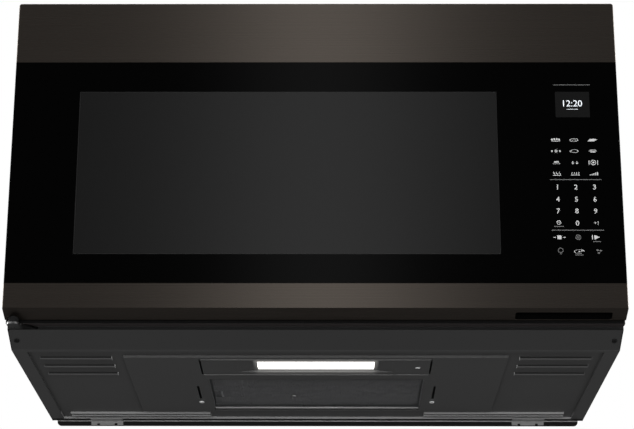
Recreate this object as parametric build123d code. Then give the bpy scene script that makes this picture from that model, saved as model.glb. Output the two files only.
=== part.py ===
from build123d import *
import math
import os

# Over the range microwave with a full-width, left-hinged door. Millimetres.
# The origin is on the wall, at the back face of the wall plate, centred on the width and level with
# the flat bottom of the case. +Z is up, the front faces -Y and +X is to the right.

# ---- case ----
case_w = 758.0
case_h = 438.2
depth = 464.0
sheet = 1.0
plate_t = 1.2
frame_t = 1.2
corner_r = 2.0
frame_hem = 12.0
past = 1.0
round_end = 0.49
stiffener_margin = 60.0
stiffener_h = 12.0
stiffener_depth = 3.0
stiffener_first = 120.5
stiffener_pitch = 80.0
stiffener_count = 3

# ---- door, overall ----
door_overhang = 1.0
door_t = 40.0
door_gap = 2.0
door_drop = 0.7
door_bottom = 19.5

# ---- underside of the case, depths from the door front ----
bevel_top = 16.0
bevel_end = 80.0
bevel_ledge = 10.0
recess_depth = 3.3
rear_border = 14.0
side_border = 18.0
emboss_front = 115.0
emboss_rear_gap = 45.5
emboss_side_gap = 135.5
rib_first_gap = 29.0
rib_pitch = 14.0
rib_count = 2
rib_w = 3.5
rib_inner = 150.5
rib_end_gap = 13.0
louvre_first = 121.0
louvre_pitch = 39.0
louvre_count = 3
louvre_w = 92.0
louvre_side_gap = 75.0
louvre_run = 9.0
louvre_slot = 5.0
louvre_drop = 2.9
louvre_root = 2.4
louvre_bend_share = 0.65
louvre_nose_share = 0.45
louvre_t = 0.8
pan_flange = 20.0
side_slot_x = 158.0
side_slot_w = 3.0
side_slot_l = 71.0
side_slot_gap = 54.0
pan_screw_gap = 15.0
bevel_screw_gap = 9.0
bevel_screw_y = 62.0

# ---- pan screws ----
screw_r = 3.4
screw_h = 1.6
screw_round = 0.7
cross_l = 4.0
cross_w = 0.9
cross_depth = 0.6

# ---- cooktop lamp ----
lamp_w = 293.0
lamp_front = 125.0
lamp_back = 200.0
lamp_gap = 2.2
lamp_h = 22.0
lamp_wall = 2.0
lip = 4.0
lip_t = 2.0
pocket_w = 204.0
pocket_front = 137.0
pocket_back = 187.5
lens_w = 150.0
lens_t = 2.0
lens_rim = 3.0
lens_rim_t = 1.5

# ---- grease filter ----
filter_w = 292.0
filter_gap = 21.0
filter_rear_gap = 18.0
filter_slot_gap = 7.0
filter_rim = 5.0
filter_t = 10.0
mesh_base = 1.0
mesh_t = 4.0
mesh_pitch = 12.0
mesh_ridge = 8.4
pull_side_gap = 14.0
pull_gap = 62.0
pull_l = 37.0
pull_wire = 2.2
pull_reach = 9.0
pull_drop = 1.6
pull_bend = 1.5

# ---- oven cavity ----
left_space = 74.0
bay_w = 144.0
cavity_floor = 75.0
roof_space = 101.2
rear_space = 48.8
cavity_t = 1.0
cavity_r = 12.0
rim_flange = 9.0
light_hole_r = 2.0
light_hole_pitch = 9.0
light_rows = 3
light_columns = 8
light_first = 36.0
light_drop = 40.0
light_box_x = 26.0
light_box_y = 80.0
light_box_z = 28.0
light_box_r = 4.0
light_wall = 2.0
bulb_r = 6.0
bulb_l = 44.0
bulb_off = 12.0
cutout_r = 8.0
cutout_h = 9.0
cutout_foot = 16.0
cutout_foot_w = 10.0
cutout_foot_t = 1.0
cutout_right_gap = 60.0
cutout_left_gap = 70.0

# ---- turntable ----
tray_clearance = 13.5
tray_t = 5.0
tray_rim = 12.0
tray_drop = 1.5
tray_flat_gap = 34.0
track_outer_gap = 14.0
track_w = 12.0
rim_inset = 3.0
ring_inset = 67.5
ring_edge = 8.0
ring_w = 12.0
ring_t = 3.0
roller_count = 3
roller_start = 90.0
roller_r = 8.0
roller_w = 7.0
roller_round = 1.2
roller_bore = 2.05
axle_r = 2.0
collar_r = 4.0
collar_l = 5.0
cap_r = 3.2
cap_l = 2.0
axle_play = 0.5
running_gap = 0.3
coupler_r = 15.0
coupler_arm = 6.0
motor_r = 25.0
motor_h = 19.0
motor_round = 2.0
motor_shaft_r = 3.5
motor_shaft_in = 13.0
motor_ear = 36.0
motor_ear_w = 12.0
motor_ear_t = 1.5

# ---- door pieces ----
glass_top_drop = 82.0
glass_t = 3.2
glass_setback = 0.3
glass_edge_r = 1.2
trim_t = 0.8
trim_depth = 24.0
trim_r = 3.5
trim_edge_r = 1.2
bottom_band = 31.3
chamfer_run = 26.0
chamfer_rise = 8.0
door_edge = 4.0
seam = 0.15
carrier_wall = 2.0
carrier_back = 5.0
carrier_edge_r = 4.0
carrier_rest = 6.0
hinge_stile = 20.0
screen_margin = 8.0
choke_side = 22.0
choke_over = 12.0
choke_t = 1.0
choke_depth = 24.0
choke_setback = 1.5
choke_slot_w = 4.0
choke_pitch = 13.0
choke_reach = 9.0
choke_inset = 0.5
dish_setback = 4.0
cover_t = 1.4
cover_gap = 0.4
cover_hem = 2.0
inner_glass_t = 3.0
inner_glass_gap = 0.3
grip_side_gap = 18.0
grip_w = 118.0
grip_front = 9.5
grip_back = 25.0
grip_h = 20.0
grip_wall = 1.5
grip_r = 3.0
board_side_gap = 15.0
board_w = 85.0
board_top_gap = 30.5
board_foot_gap = 32.2
board_setback = 9.0
board_t = 1.6
display_w = 43.0
display_h = 34.5
display_t = 8.0
display_drop = 27.3
plug_inset = 10.0
plug_w = 45.5
plug_h = 30.0
plug_t = 4.0
plug_foot = 20.0
holder_front_gap = 0.4
holder_wall = 2.0
holder_gap = 1.0
holder_back = 8.0
lug_l = 6.0
lug_h = 12.0
lug_end_gap = 30.0

# ---- hinges and latch ----
hinge_inset = 11.0
hinge_setback = 24.0
pin_r = 3.0
pin_clearance = 0.06
hinge_plate_t = 2.5
hinge_arm_w = 16.0
hinge_leaf_w = 38.0
hinge_leaf_t = 3.0
hinge_leaf_h = 20.0
hinge_drop = 14.0
hinge_gap = 0.6
hinge_pocket_r = 19.5
hinge_pocket_gap = 2.0
gusset_w = 20.0
bush_r = 6.5
bush_h = 14.0
bush_end = 1.0
latch_off = 27.0
latch_margin = 37.0
latch_w = 8.0
latch_lift = 6.0
latch_bar_t = 5.0
latch_head = 8.0
hook_reach = 24.0
hook_h = 9.0
hook_nose = 3.0
hook_thin = 1.5
hook_bevel = 6.0
hook_nick = 2.0
hook_room = 2.0
guide_wall = 3.0
guide_h = 16.0
guide_low = 40.0
guide_high = 50.0

# ---- interlock switches ----
bracket_side = 6.0
bracket_room = 26.0
bracket_front_t = 3.0
bracket_wall = 2.5
bracket_past = 12.0
bracket_ends = 13.0
bracket_rib = 2.4
bracket_rib_end = 6.0
shelf_t = 3.0
shelf_gap = 5.0
switch_side = 6.5
switch_w = 10.0
switch_l = 27.0
switch_h = 16.0
switch_drop = 2.0
switch_step = 28.0
tag_l = 6.0
tag_w = 2.0
tag_pitch = 7.0

# ---- wall plate ----
wall_plate_side_gap = 7.0
wall_plate_top_gap = 23.2
wall_plate_hang = 7.6
wall_plate_r = 6.0
tab_side_gap = 78.5
tab_w = 45.5
tab_run = 16.0
tab_foot = 1.0
notch_w = 4.0
notch_h = 3.5
notch_off = 12.5
stud_pitch = 406.4
stud_hole_r = 3.5
stud_top_gap = 66.2
slot_rows = 6
slot_row_first = 60.5
slot_row_pitch = 50.0
slot_count = 12
slot_margin = 64.0
slot_l = 26.0
slot_w = 8.0

# ---- top of the case ----
grille_side_gap = 79.0
grille_front = 14.0
grille_run = 62.0
grille_bars = 24
grille_t = 10.0
grille_rim = 3.0
grille_bar = 2.0
grille_rail = 12.0
grille_shelf = 2.0
charcoal_t = 12.0
charcoal_gap = 4.0
charcoal_side_gap = 6.0
charcoal_card = 6.0
charcoal_dish = 2.0
exhaust_w = 254.0
exhaust_run = 82.5
exhaust_rear_gap = 14.0
exhaust_hem = 8.0
cord_side_gap = 49.0
cord_rear_gap = 70.0
cord_hole_r = 6.0
bush_wall = 4.0
bushing_drop = 8.0
bushing_rise = 0.5
bushing_flange = 2.5
bushing_flange_t = 3.0
bolt_side_gap = 62.0
bolt_run = 132.0
bolt_r = 3.2
bolt_plate = 50.0
bolt_plate_t = 3.0
bolt_boss = 4.0
bolt_boss_h = 9.0

# ---- hood blower ----
blower_rear_gap = 84.0
blower_drop = 52.2
wheel_r = 36.0
wheel_w = 78.0
wheel_start = 36.0
wheel_band = 7.5
wheel_rim_l = 4.0
blade_count = 30
blade_t = 1.0
blade_camber = 1.3
blade_inset = 1.6
hub_disc_t = 2.0
boss_r = 9.0
boss_l = 16.0
blower_motor_r = 38.0
blower_motor_l = 37.0
motor_edge_r = 5.0
motor_foot_l = 28.8
motor_foot_w = 28.0
motor_foot_in = 20.0
blower_shaft_r = 4.0
shaft_share = 0.6
scroll_wall = 1.6
scroll_near = 4.0
scroll_far = 12.0
scroll_side = 4.0
scroll_mouth = 40.0
tongue_rise = 13.5
inlet_gap = 2.0
saddle_w = 16.0
saddle_l = 40.0
saddle_inset = 8.0

# ---- cooling fan ----
fan_rear_gap = 82.8
fan_rise = 116.0
fan_r = 50.5
fan_hub_r = 16.0
fan_depth = 22.0
fan_blades = 6
fan_chord = 16.0
fan_blade_t = 1.4
fan_hub_round = 3.0
fan_shaft_r = 2.0
fan_shaft_l = 24.5
fan_gap = 2.0
shroud_t = 2.0
shroud_top = 14.0
spoke_w = 6.0
spoke_t = 3.0
fan_motor_w = 44.0
fan_motor_l = 30.0
fan_motor_r = 4.0

# ---- waveguide and magnetron ----
guide_w = 100.5
guide_rise = 164.0
guide_top_gap = 8.0
guide_run = 38.0
guide_t = 1.2
guide_r = 6.0
guide_lip = 10.0
guide_lip_top = 4.0
window_margin = 12.0
window_foot = 10.0
window_h = 50.0
mica_t = 0.6
mica_margin = 2.0
mica_h = 72.0
mica_r = 5.0
antenna_r = 8.0
antenna_l = 26.0
tube_w = 78.0
tube_l = 72.0
tube_h = 66.0
tube_drop = 4.0
yoke_t = 2.0
anode_r = 18.0
anode_gap = 2.2
magnet_r = 27.0
magnet_t = 10.0
fin_count = 6
fin_t = 1.2
fin_edge = 3.0
choke_box_l = 16.0
choke_box_w = 52.0
choke_box_h = 40.0

# ---- power parts in the bay ----
bay_floor = 34.0
bay_front_gap = 14.0
bay_lap = 20.0
bay_flange = 14.0
leg_front_gap = 5.0
leg_side_gap = 25.0
core_w = 96.0
core_d = 66.0
core_h = 84.0
core_run = 122.0
core_off = 2.0
core_leg = 32.6
core_window = 19.2
core_yoke = 15.1
coil_over = 13.0
coil_r = 10.0
coil_gap = 0.8
can_w = 56.0
can_d = 34.0
can_h = 84.0
can_r = 16.0
can_gap = 9.0
strap_w = 72.0
strap_d = 37.0
strap_h = 14.0
strap_z = 20.0
blade_tag_w = 6.0
blade_tag_t = 1.0
blade_tag_h = 10.0
blade_tag_off = 12.0

# ---- power board over the bay ----
pcb_front_gap = 20.0
pcb_left_gap = 8.0
pcb_right_gap = 14.0
pcb_l = 92.0
pcb_rise = 22.0
standoff_r = 3.0
standoff_h = 3.0
standoff_in = 6.0
tray_sheet = 1.5
tray_edge = 3.0
tray_lap = 20.0
tray_flange = 20.5
mains_w = 34.0
mains_l = 32.0
mains_h = 25.4
relay_w = 20.0
relay_l = 16.0
relay_h = 15.4
relay_pitch = 26.0
smooth_r = 9.0
smooth_h = 22.4
small_r = 6.0
small_h = 14.4
header_w = 34.0
header_l = 10.0
header_h = 12.4
part_gap = 8.0

# ---- derived places ----
side_x = case_w / 2
inner_x = side_x - sheet
door_w = case_w + 2 * door_overhang
door_x = door_w / 2
case_front = -(depth - door_t - door_gap)
frame_back = case_front + frame_t
case_back = -plate_t
door_front = -depth
door_back = door_front + door_t
door_top = case_h - door_drop
glass_top = door_top - glass_top_drop
chamfer_z = door_bottom + door_edge
band_bottom = chamfer_z + chamfer_rise
glass_bottom = band_bottom + bottom_band
hinge_x = -(door_x - hinge_inset)
hinge_y = door_front + hinge_setback
upper_hinge_z = door_top - hinge_drop
lower_hinge_z = door_bottom - hinge_gap - hinge_plate_t
pan_top = recess_depth + sheet
recess_front = bevel_end + bevel_ledge
recess_back = depth - rear_border
recess_x = side_x - side_border
emboss_x = side_x - emboss_side_gap
emboss_back = recess_back - emboss_rear_gap
rib_outer = recess_x - rib_end_gap
louvre_x = side_x - louvre_side_gap
filter_front = lamp_back + filter_gap
filter_back = emboss_back - filter_rear_gap + sheet / 2
filter_opening_back = emboss_back - filter_slot_gap + sheet / 2
side_slot_back = filter_back - side_slot_gap
side_slot_front = side_slot_back - side_slot_l
pan_screw_y = side_slot_back + pan_screw_gap
pull_back = filter_back - pull_gap
pull_front = pull_back - pull_l
pull_x = filter_w / 2 - pull_side_gap
cavity_x0 = -side_x + left_space
cavity_x1 = side_x - bay_w
cavity_x = (cavity_x0 + cavity_x1) / 2
cavity_w = cavity_x1 - cavity_x0
cavity_top = case_h - roof_space
cavity_back = case_back - rear_space
cavity_d = cavity_back - case_front
cavity_y = (case_front + cavity_back) / 2
light_y = case_front + light_first + (light_columns - 1) / 2 * light_hole_pitch
light_z = cavity_top - light_drop + (light_rows - 1) / 2 * light_hole_pitch
tray_r = min(cavity_w, cavity_d) / 2 - tray_clearance
tray_z = cavity_floor + 2 * roller_r + 2 * running_gap
ring_r = tray_r - ring_inset
bay_x0 = cavity_x1 + cavity_t
bay_x = (bay_x0 + inner_x) / 2
latch_x = cavity_x1 + latch_off
latch_z0 = cavity_floor + latch_margin
latch_z1 = cavity_top - latch_margin
grip_x1 = door_x - grip_side_gap
grip_x0 = grip_x1 - grip_w
board_x1 = door_x - board_side_gap
board_x0 = board_x1 - board_w
board_z0 = glass_bottom + board_foot_gap
board_z1 = glass_top - board_top_gap
display_x = (board_x0 + board_x1) / 2
display_z = board_z1 - display_drop
wall_plate_w = case_w - 2 * wall_plate_side_gap
wall_plate_top = case_h - wall_plate_top_gap
slot_pitch = (wall_plate_w - 2 * slot_margin) / (slot_count - 1)
stud_z = case_h - stud_top_gap
tab_x = side_x - tab_side_gap
grille_x = side_x - grille_side_gap
cord_x = side_x - cord_side_gap
cord_y = -cord_rear_gap
bolt_x = side_x - bolt_side_gap
bolt_y = case_front + bolt_run
blower_y = -blower_rear_gap
blower_z = case_h - blower_drop
wheel_inner = wheel_r - wheel_band
fan_x = bay_x
fan_y = case_back - fan_rear_gap
fan_z = bay_floor + fan_rise
guide_y0 = cavity_y - guide_w / 2
guide_y1 = cavity_y + guide_w / 2
guide_z1 = cavity_top - guide_top_gap
guide_z0 = guide_z1 - guide_rise
tube_z = guide_z1 - tube_h / 2 - tube_drop
tube_x0 = bay_x0 + guide_run
tube_x1 = tube_x0 + tube_l
core_x = bay_x + core_off
core_y = case_front + core_run


def from_front(distance):
    return door_front + distance


def block(x0, x1, y0, y1, z0, z1):
    centre = Pos((x0 + x1) / 2, (y0 + y1) / 2, (z0 + z1) / 2)
    return centre * Box(x1 - x0, y1 - y0, z1 - z0)


def rod_x(r, x0, x1, y, z):
    return Pos((x0 + x1) / 2, y, z) * Rot(0, 90, 0) * Cylinder(r, x1 - x0)


def rod_y(r, y0, y1, x, z):
    return Pos(x, (y0 + y1) / 2, z) * Rot(90, 0, 0) * Cylinder(r, y1 - y0)


def rod_z(r, z0, z1, x, y):
    return Pos(x, y, (z0 + z1) / 2) * Cylinder(r, z1 - z0)


def prism_x(points_yz, x0, x1):
    outline = Polyline(*[(x0, y, z) for y, z in points_yz], close=True)
    return extrude(make_face(outline), amount=x1 - x0, dir=(1, 0, 0))


def prism_y(points_xz, y0, y1):
    outline = Polyline(*[(x, y0, z) for x, z in points_xz], close=True)
    return extrude(make_face(outline), amount=y1 - y0, dir=(0, 1, 0))


def prism_z(points_xy, z0, z1):
    outline = Polyline(*[(x, y, z0) for x, y in points_xy], close=True)
    return extrude(make_face(outline), amount=z1 - z0, dir=(0, 0, 1))


def rounded(solid, axis, r):
    return fillet(solid.edges().filter_by(axis), r)


def slot_y(x0, x1, z, w, y0, y1):
    bar = block(x0, x1, y0, y1, z - w / 2, z + w / 2)
    return rounded(bar, Axis.Y, w * round_end)


# ---- case shell ----

def make_wrapper():
    side = [
        (case_front, bevel_top),
        (case_front, case_h),
        (case_back, case_h),
        (case_back, 0),
        (from_front(bevel_end), 0),
    ]
    shell = prism_x(side, -side_x, side_x)
    top_edges = shell.edges().filter_by(Axis.Y).group_by(Axis.Z)[-1]
    shell = fillet(top_edges, corner_r)
    shell -= block(-inner_x, inner_x, case_front - past, case_back + past, -past, case_h - sheet)
    shell -= grille_zone()
    shell -= exhaust_zone()
    shell -= rod_z(cord_hole_r + bush_wall, case_h - 2 * sheet, case_h + past, cord_x, cord_y)
    for x in (-bolt_x, bolt_x):
        shell -= rod_z(bolt_r, case_h - 2 * sheet, case_h + past, x, bolt_y)
    return shell


def grille_zone():
    front = case_front + grille_front
    return block(-grille_x, grille_x, front, front + grille_run, case_h - 2 * sheet, case_h + past)


def exhaust_zone():
    back = case_back - exhaust_rear_gap
    half = exhaust_w / 2
    return block(-half, half, back - exhaust_run, back, case_h - 2 * sheet, case_h + past)


def make_back_panel():
    panel = block(-inner_x, inner_x, case_back - sheet, case_back, pan_flange, case_h - sheet)
    reach = inner_x - stiffener_margin
    deep = case_back - sheet - stiffener_depth
    for i in range(stiffener_count):
        z = stiffener_first + i * stiffener_pitch
        panel += block(-reach, reach, deep, case_back - sheet, z, z + stiffener_h)
    return panel


def hinge_slot(z):
    half = hinge_arm_w / 2
    return block(
        hinge_x - half, hinge_x + half, case_front - past, frame_back + frame_hem + past,
        z, z + hinge_plate_t)


def make_front_frame():
    frame = block(-inner_x, inner_x, case_front, frame_back, bevel_top, case_h - sheet)
    hem = frame_back + frame_hem
    hem_foot = bevel_top + 2 * sheet
    ring = block(-inner_x, inner_x, frame_back, hem, hem_foot, case_h - sheet)
    ring -= block(
        -inner_x + frame_t, inner_x - frame_t, frame_back - past, hem + past,
        0, case_h - sheet - frame_t)
    frame += ring
    mouth = block(
        cavity_x0, cavity_x1, case_front - past, frame_back + past, cavity_floor, cavity_top)
    frame -= rounded(mouth, Axis.Y, cavity_r)
    frame -= hinge_slot(upper_hinge_z)
    frame -= hinge_slot(lower_hinge_z)
    for z in hook_levels():
        frame -= latch_window(z, case_front, frame_back, hook_room)
    return frame


def hook_levels():
    return (latch_z0 + hook_h, latch_z1 - 2 * hook_h)


def latch_window(z, y0, y1, room):
    half = latch_w / 2 + room
    return block(
        latch_x - half, latch_x + half, y0 - past, y1 + past,
        z - hook_nose - room, z + hook_h + latch_lift + room)


def make_base_pan():
    y0 = from_front(bevel_end)
    y1 = case_back - sheet
    front = from_front(recess_front)
    back = from_front(recess_back)
    pan = block(-inner_x, inner_x, y0, y1, 0, pan_top)
    recess = block(-recess_x, recess_x, front, back, -past, recess_depth)
    emboss = (-emboss_x, emboss_x, from_front(emboss_front), from_front(emboss_back))
    recess -= block(*emboss, -past, recess_depth)
    for i in range(rib_count):
        start = back - rib_first_gap + i * rib_pitch
        for inner, outer in ((-rib_outer, -rib_inner), (rib_inner, rib_outer)):
            recess -= block(inner, outer, start, start + rib_w, -past, recess_depth)
    pan -= recess
    trough = block(
        -inner_x + sheet, inner_x - sheet, y0 - past, y1 - sheet, sheet, pan_top + past)
    trough -= block(
        -recess_x - sheet, recess_x + sheet, front - sheet, back + sheet, 0, pan_top + past)
    pan -= trough
    pan -= block(
        emboss[0] + sheet, emboss[1] - sheet, emboss[2] + sheet, emboss[3] - sheet,
        sheet, pan_top + past)
    pan += pan_flanges(y0, y1)
    pan += bevel_strip()
    for side in (-1, 1):
        for i in range(louvre_count):
            pan += louvre(side * louvre_x, from_front(louvre_first + i * louvre_pitch))
    for cut in pan_openings():
        pan -= cut
    return pan


def pan_flanges(y0, y1):
    flanges = block(-inner_x, -inner_x + sheet, y0, y1, 0, pan_flange)
    flanges += block(inner_x - sheet, inner_x, y0, y1, 0, pan_flange)
    flanges += block(-inner_x, inner_x, y1 - sheet, y1, 0, pan_flange)
    return flanges


def bevel_strip():
    foot = from_front(bevel_end)
    lap = foot + 2 * sheet
    edge = frame_back
    slope = [
        (foot, 0),
        (edge, bevel_top),
        (edge, bevel_top + sheet),
        (foot, sheet),
        (lap, sheet),
        (lap, 0),
    ]
    strip = prism_x(slope, -inner_x, inner_x)
    edge_x = inner_x - frame_t
    edge_top = bevel_top + pan_flange
    strip += block(-edge_x, edge_x, edge, edge + sheet, bevel_top + sheet / 2, edge_top)
    z = lower_hinge_z
    half = hinge_arm_w / 2
    strip -= block(
        hinge_x - half, hinge_x + half, edge - past, edge + 2 * sheet, z, z + hinge_plate_t)
    return strip


def louvre(x, y):
    tip = recess_depth - louvre_drop
    hood = [
        (y, recess_depth),
        (y + louvre_root / 2, recess_depth - louvre_drop * louvre_bend_share),
        (y + louvre_run * louvre_nose_share, tip),
        (y + louvre_run, tip),
        (y + louvre_run, tip + louvre_t),
        (y + louvre_run / 2, tip + louvre_t),
        (y + louvre_root, recess_depth),
        (y + louvre_root, pan_top),
        (y, pan_top),
    ]
    return prism_x(hood, x - louvre_w / 2, x + louvre_w / 2)


def pan_openings():
    cuts = []
    half = lamp_w / 2 + lamp_gap
    cuts.append(block(
        -half, half, from_front(lamp_front), from_front(lamp_back), -past, pan_top + past))
    half = filter_w / 2 - lip
    front = from_front(filter_front) + lip
    cuts.append(block(
        -half, half, front, from_front(filter_opening_back), -past, pan_top + past))
    for side in (-1, 1):
        x = side * side_slot_x
        slot = block(
            x - side_slot_w / 2, x + side_slot_w / 2,
            from_front(side_slot_front), from_front(side_slot_back), -past, pan_top + past)
        cuts.append(rounded(slot, Axis.Z, side_slot_w * round_end))
        half = louvre_w / 2 - lip_t
        for i in range(louvre_count):
            y = from_front(louvre_first + i * louvre_pitch) + louvre_root
            cuts.append(block(
                side * louvre_x - half, side * louvre_x + half, y, y + louvre_slot,
                recess_depth, pan_top + past))
    return cuts


def make_screws():
    screws = []
    run = from_front(bevel_end) - frame_back
    slope = math.degrees(math.atan2(bevel_top, run))
    share = (bevel_end - bevel_screw_y) / run
    for side in (-1, 1):
        head = Pos(side * side_slot_x, from_front(pan_screw_y), 0)
        screws.append(head * pan_screw())
        place = Pos(side * (side_x - bevel_screw_gap), from_front(bevel_screw_y), bevel_top * share)
        screws.append(place * Rot(-slope, 0, 0) * pan_screw())
    return Compound(children=screws)


def pan_screw():
    head = Pos(0, 0, -screw_h / 2) * Cylinder(screw_r, screw_h)
    head = fillet(head.edges().group_by(Axis.Z)[0], screw_round)
    cross = Pos(0, 0, -screw_h)
    head -= cross * Box(cross_l, cross_w, 2 * cross_depth)
    head -= cross * Box(cross_w, cross_l, 2 * cross_depth)
    return head


# ---- wall plate ----

def make_wall_plate():
    half = wall_plate_w / 2
    plate = block(-half, half, -plate_t, 0, -wall_plate_hang, wall_plate_top)
    plate = rounded(plate, Axis.Y, wall_plate_r)
    for row in range(slot_rows):
        z = slot_row_first + row * slot_row_pitch
        for i in range(slot_count):
            x = (i - (slot_count - 1) / 2) * slot_pitch
            plate -= slot_y(x - slot_l / 2, x + slot_l / 2, z, slot_w, -plate_t - past, past)
    for x in (-stud_pitch / 2, stud_pitch / 2):
        plate -= rod_y(stud_hole_r, -plate_t - past, past, x, stud_z)
    return plate


def make_support_tabs():
    tabs = []
    foot = -wall_plate_hang + tab_foot
    outline = [
        (-plate_t, foot),
        (-2 * plate_t, foot),
        (-2 * plate_t, -plate_t),
        (-plate_t - tab_run, -plate_t),
        (-plate_t - tab_run, 0),
        (-plate_t, 0),
    ]
    for x in (-tab_x, tab_x):
        tab = prism_x(outline, x - tab_w / 2, x + tab_w / 2)
        for centre in (x - notch_off, x + notch_off):
            tab -= block(
                centre - notch_w / 2, centre + notch_w / 2, -2 * plate_t - past, 0,
                foot - past, foot - past + notch_h)
        tabs.append(tab)
    return Compound(children=tabs)


# ---- oven cavity ----

def make_cavity():
    outer = block(
        cavity_x0 - cavity_t, cavity_x1 + cavity_t, frame_back, cavity_back + cavity_t,
        cavity_floor - cavity_t, cavity_top + cavity_t)
    outer = rounded(outer, Axis.Y, cavity_r + cavity_t)
    inner = block(
        cavity_x0, cavity_x1, frame_back - past, cavity_back, cavity_floor, cavity_top)
    inner = rounded(inner, Axis.Y, cavity_r)
    box = outer - inner
    flange = block(
        cavity_x0 - rim_flange, cavity_x1 + rim_flange, frame_back, frame_back + cavity_t,
        cavity_floor - rim_flange, cavity_top + rim_flange)
    flange = rounded(flange, Axis.Y, cavity_r + rim_flange)
    box += flange - inner
    box -= rod_z(
        motor_shaft_r + past, cavity_floor - cavity_t - past, cavity_floor + past,
        cavity_x, cavity_y)
    box -= block(
        cavity_x1 - past, cavity_x1 + cavity_t + past, guide_y0 + window_margin,
        guide_y1 - window_margin, guide_z0 + window_foot, guide_z0 + window_foot + window_h)
    for row in range(light_rows):
        z = cavity_top - light_drop + row * light_hole_pitch
        for i in range(light_columns):
            y = case_front + light_first + i * light_hole_pitch
            box -= rod_x(light_hole_r, cavity_x0 - cavity_t - past, cavity_x0 + past, y, z)
    return box


def make_cavity_lamp():
    x = cavity_x0 - cavity_t
    y = light_y
    z = light_z
    half_y = light_box_y / 2
    half_z = light_box_z / 2
    lamp = block(x - light_box_x, x, y - half_y, y + half_y, z - half_z, z + half_z)
    lamp = rounded(lamp, Axis.X, light_box_r)
    lamp -= block(
        x - light_box_x + light_wall, x + past, y - half_y + light_wall, y + half_y - light_wall,
        z - half_z + light_wall, z + half_z - light_wall)
    bulb_y = y - half_y + light_wall
    return lamp + rod_y(bulb_r, bulb_y, bulb_y + bulb_l, x - bulb_off, z)


def make_thermal_cutouts():
    devices = []
    z = cavity_top + cavity_t
    for x in (cavity_x1 - cutout_right_gap, cavity_x0 + cutout_left_gap):
        device = rod_z(cutout_r, z, z + cutout_h, x, cavity_y)
        device += block(
            x - cutout_foot, x + cutout_foot, cavity_y - cutout_foot_w / 2,
            cavity_y + cutout_foot_w / 2, z, z + cutout_foot_t)
        devices.append(device)
    return Compound(children=devices)


# ---- waveguide and magnetron ----

def make_waveguide():
    x0 = bay_x0
    x1 = bay_x0 + guide_run
    duct = block(x0, x1, guide_y0, guide_y1, guide_z0, guide_z1)
    duct = rounded(duct, Axis.X, guide_r)
    inner = block(
        x0 - past, x1 - guide_t, guide_y0 + guide_t, guide_y1 - guide_t,
        guide_z0 + guide_t, guide_z1 - guide_t)
    duct -= rounded(inner, Axis.X, guide_r - guide_t)
    rim = block(
        x0, x0 + guide_t, guide_y0 - guide_lip, guide_y1 + guide_lip,
        guide_z0 - guide_lip, guide_z1 + guide_lip_top)
    duct += rim - block(x0 - past, x0 + guide_t + past, guide_y0, guide_y1, guide_z0, guide_z1)
    duct -= rod_x(antenna_r + past, x1 - guide_t - past, x1 + past, cavity_y, tube_z)
    return duct


def make_waveguide_cover():
    cover = block(
        cavity_x1 - mica_t, cavity_x1, guide_y0 + mica_margin, guide_y1 - mica_margin,
        guide_z0, guide_z0 + mica_h)
    return rounded(cover, Axis.X, mica_r)


def make_magnetron_yoke():
    low = tube_z - tube_h / 2
    high = tube_z + tube_h / 2
    y0 = cavity_y - tube_w / 2
    y1 = cavity_y + tube_w / 2
    yoke = block(tube_x0, tube_x1, y0, y1, low, high)
    yoke -= block(
        tube_x0 + yoke_t, tube_x1 - yoke_t, y0 - past, y1 + past, low + yoke_t, high - yoke_t)
    yoke -= rod_x(
        anode_r + anode_gap, tube_x0 - past, tube_x0 + yoke_t + past, cavity_y, tube_z)
    yoke += block(
        tube_x1, tube_x1 + choke_box_l, cavity_y - choke_box_w / 2, cavity_y + choke_box_w / 2,
        tube_z - choke_box_h / 2, tube_z + choke_box_h / 2)
    return yoke


def make_magnetron_core():
    inner0 = tube_x0 + yoke_t
    inner1 = tube_x1 - yoke_t
    core = rod_x(anode_r, tube_x0, inner1, cavity_y, tube_z)
    core += rod_x(antenna_r, tube_x0 - antenna_l, tube_x0, cavity_y, tube_z)
    for x in (inner0, inner1 - magnet_t):
        core += rod_x(magnet_r, x, x + magnet_t, cavity_y, tube_z)
    span = (inner1 - inner0 - 2 * magnet_t) / fin_count
    for i in range(fin_count):
        x = inner0 + magnet_t + (i + 1 / 2) * span
        core += block(
            x - fin_t / 2, x + fin_t / 2,
            cavity_y - tube_w / 2 + fin_edge, cavity_y + tube_w / 2 - fin_edge,
            tube_z - tube_h / 2 + yoke_t, tube_z + tube_h / 2 - yoke_t)
    return core


# ---- power parts in the bay ----

def make_bay_floor():
    x0 = bay_x0
    x1 = inner_x - sheet
    y0 = frame_back + bay_front_gap
    y1 = case_back - 2 * sheet
    floor = block(x0, x1, y0, y1, bay_floor, bay_floor + sheet)
    floor += block(x0, x0 + sheet, y0, y1, bay_floor, cavity_floor + bay_lap)
    floor += block(x1 - sheet, x1, y0, y1, bay_floor, bay_floor + bay_flange)
    for y in (from_front(bevel_end) + leg_front_gap, y1 - 2 * sheet):
        floor += block(x0 + leg_side_gap, x1 - leg_side_gap, y, y + sheet, pan_top, bay_floor)
    return floor


def make_transformer_core():
    low = bay_floor + sheet
    high = low + core_h
    core = block(
        core_x - core_w / 2, core_x + core_w / 2, core_y - core_d / 2, core_y + core_d / 2,
        low, high)
    for side in (-1, 1):
        centre = core_x + side * (core_leg + core_window) / 2
        core -= block(
            centre - core_window / 2, centre + core_window / 2, core_y - core_d, core_y + core_d,
            low + core_yoke, high - core_yoke)
    return core


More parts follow.
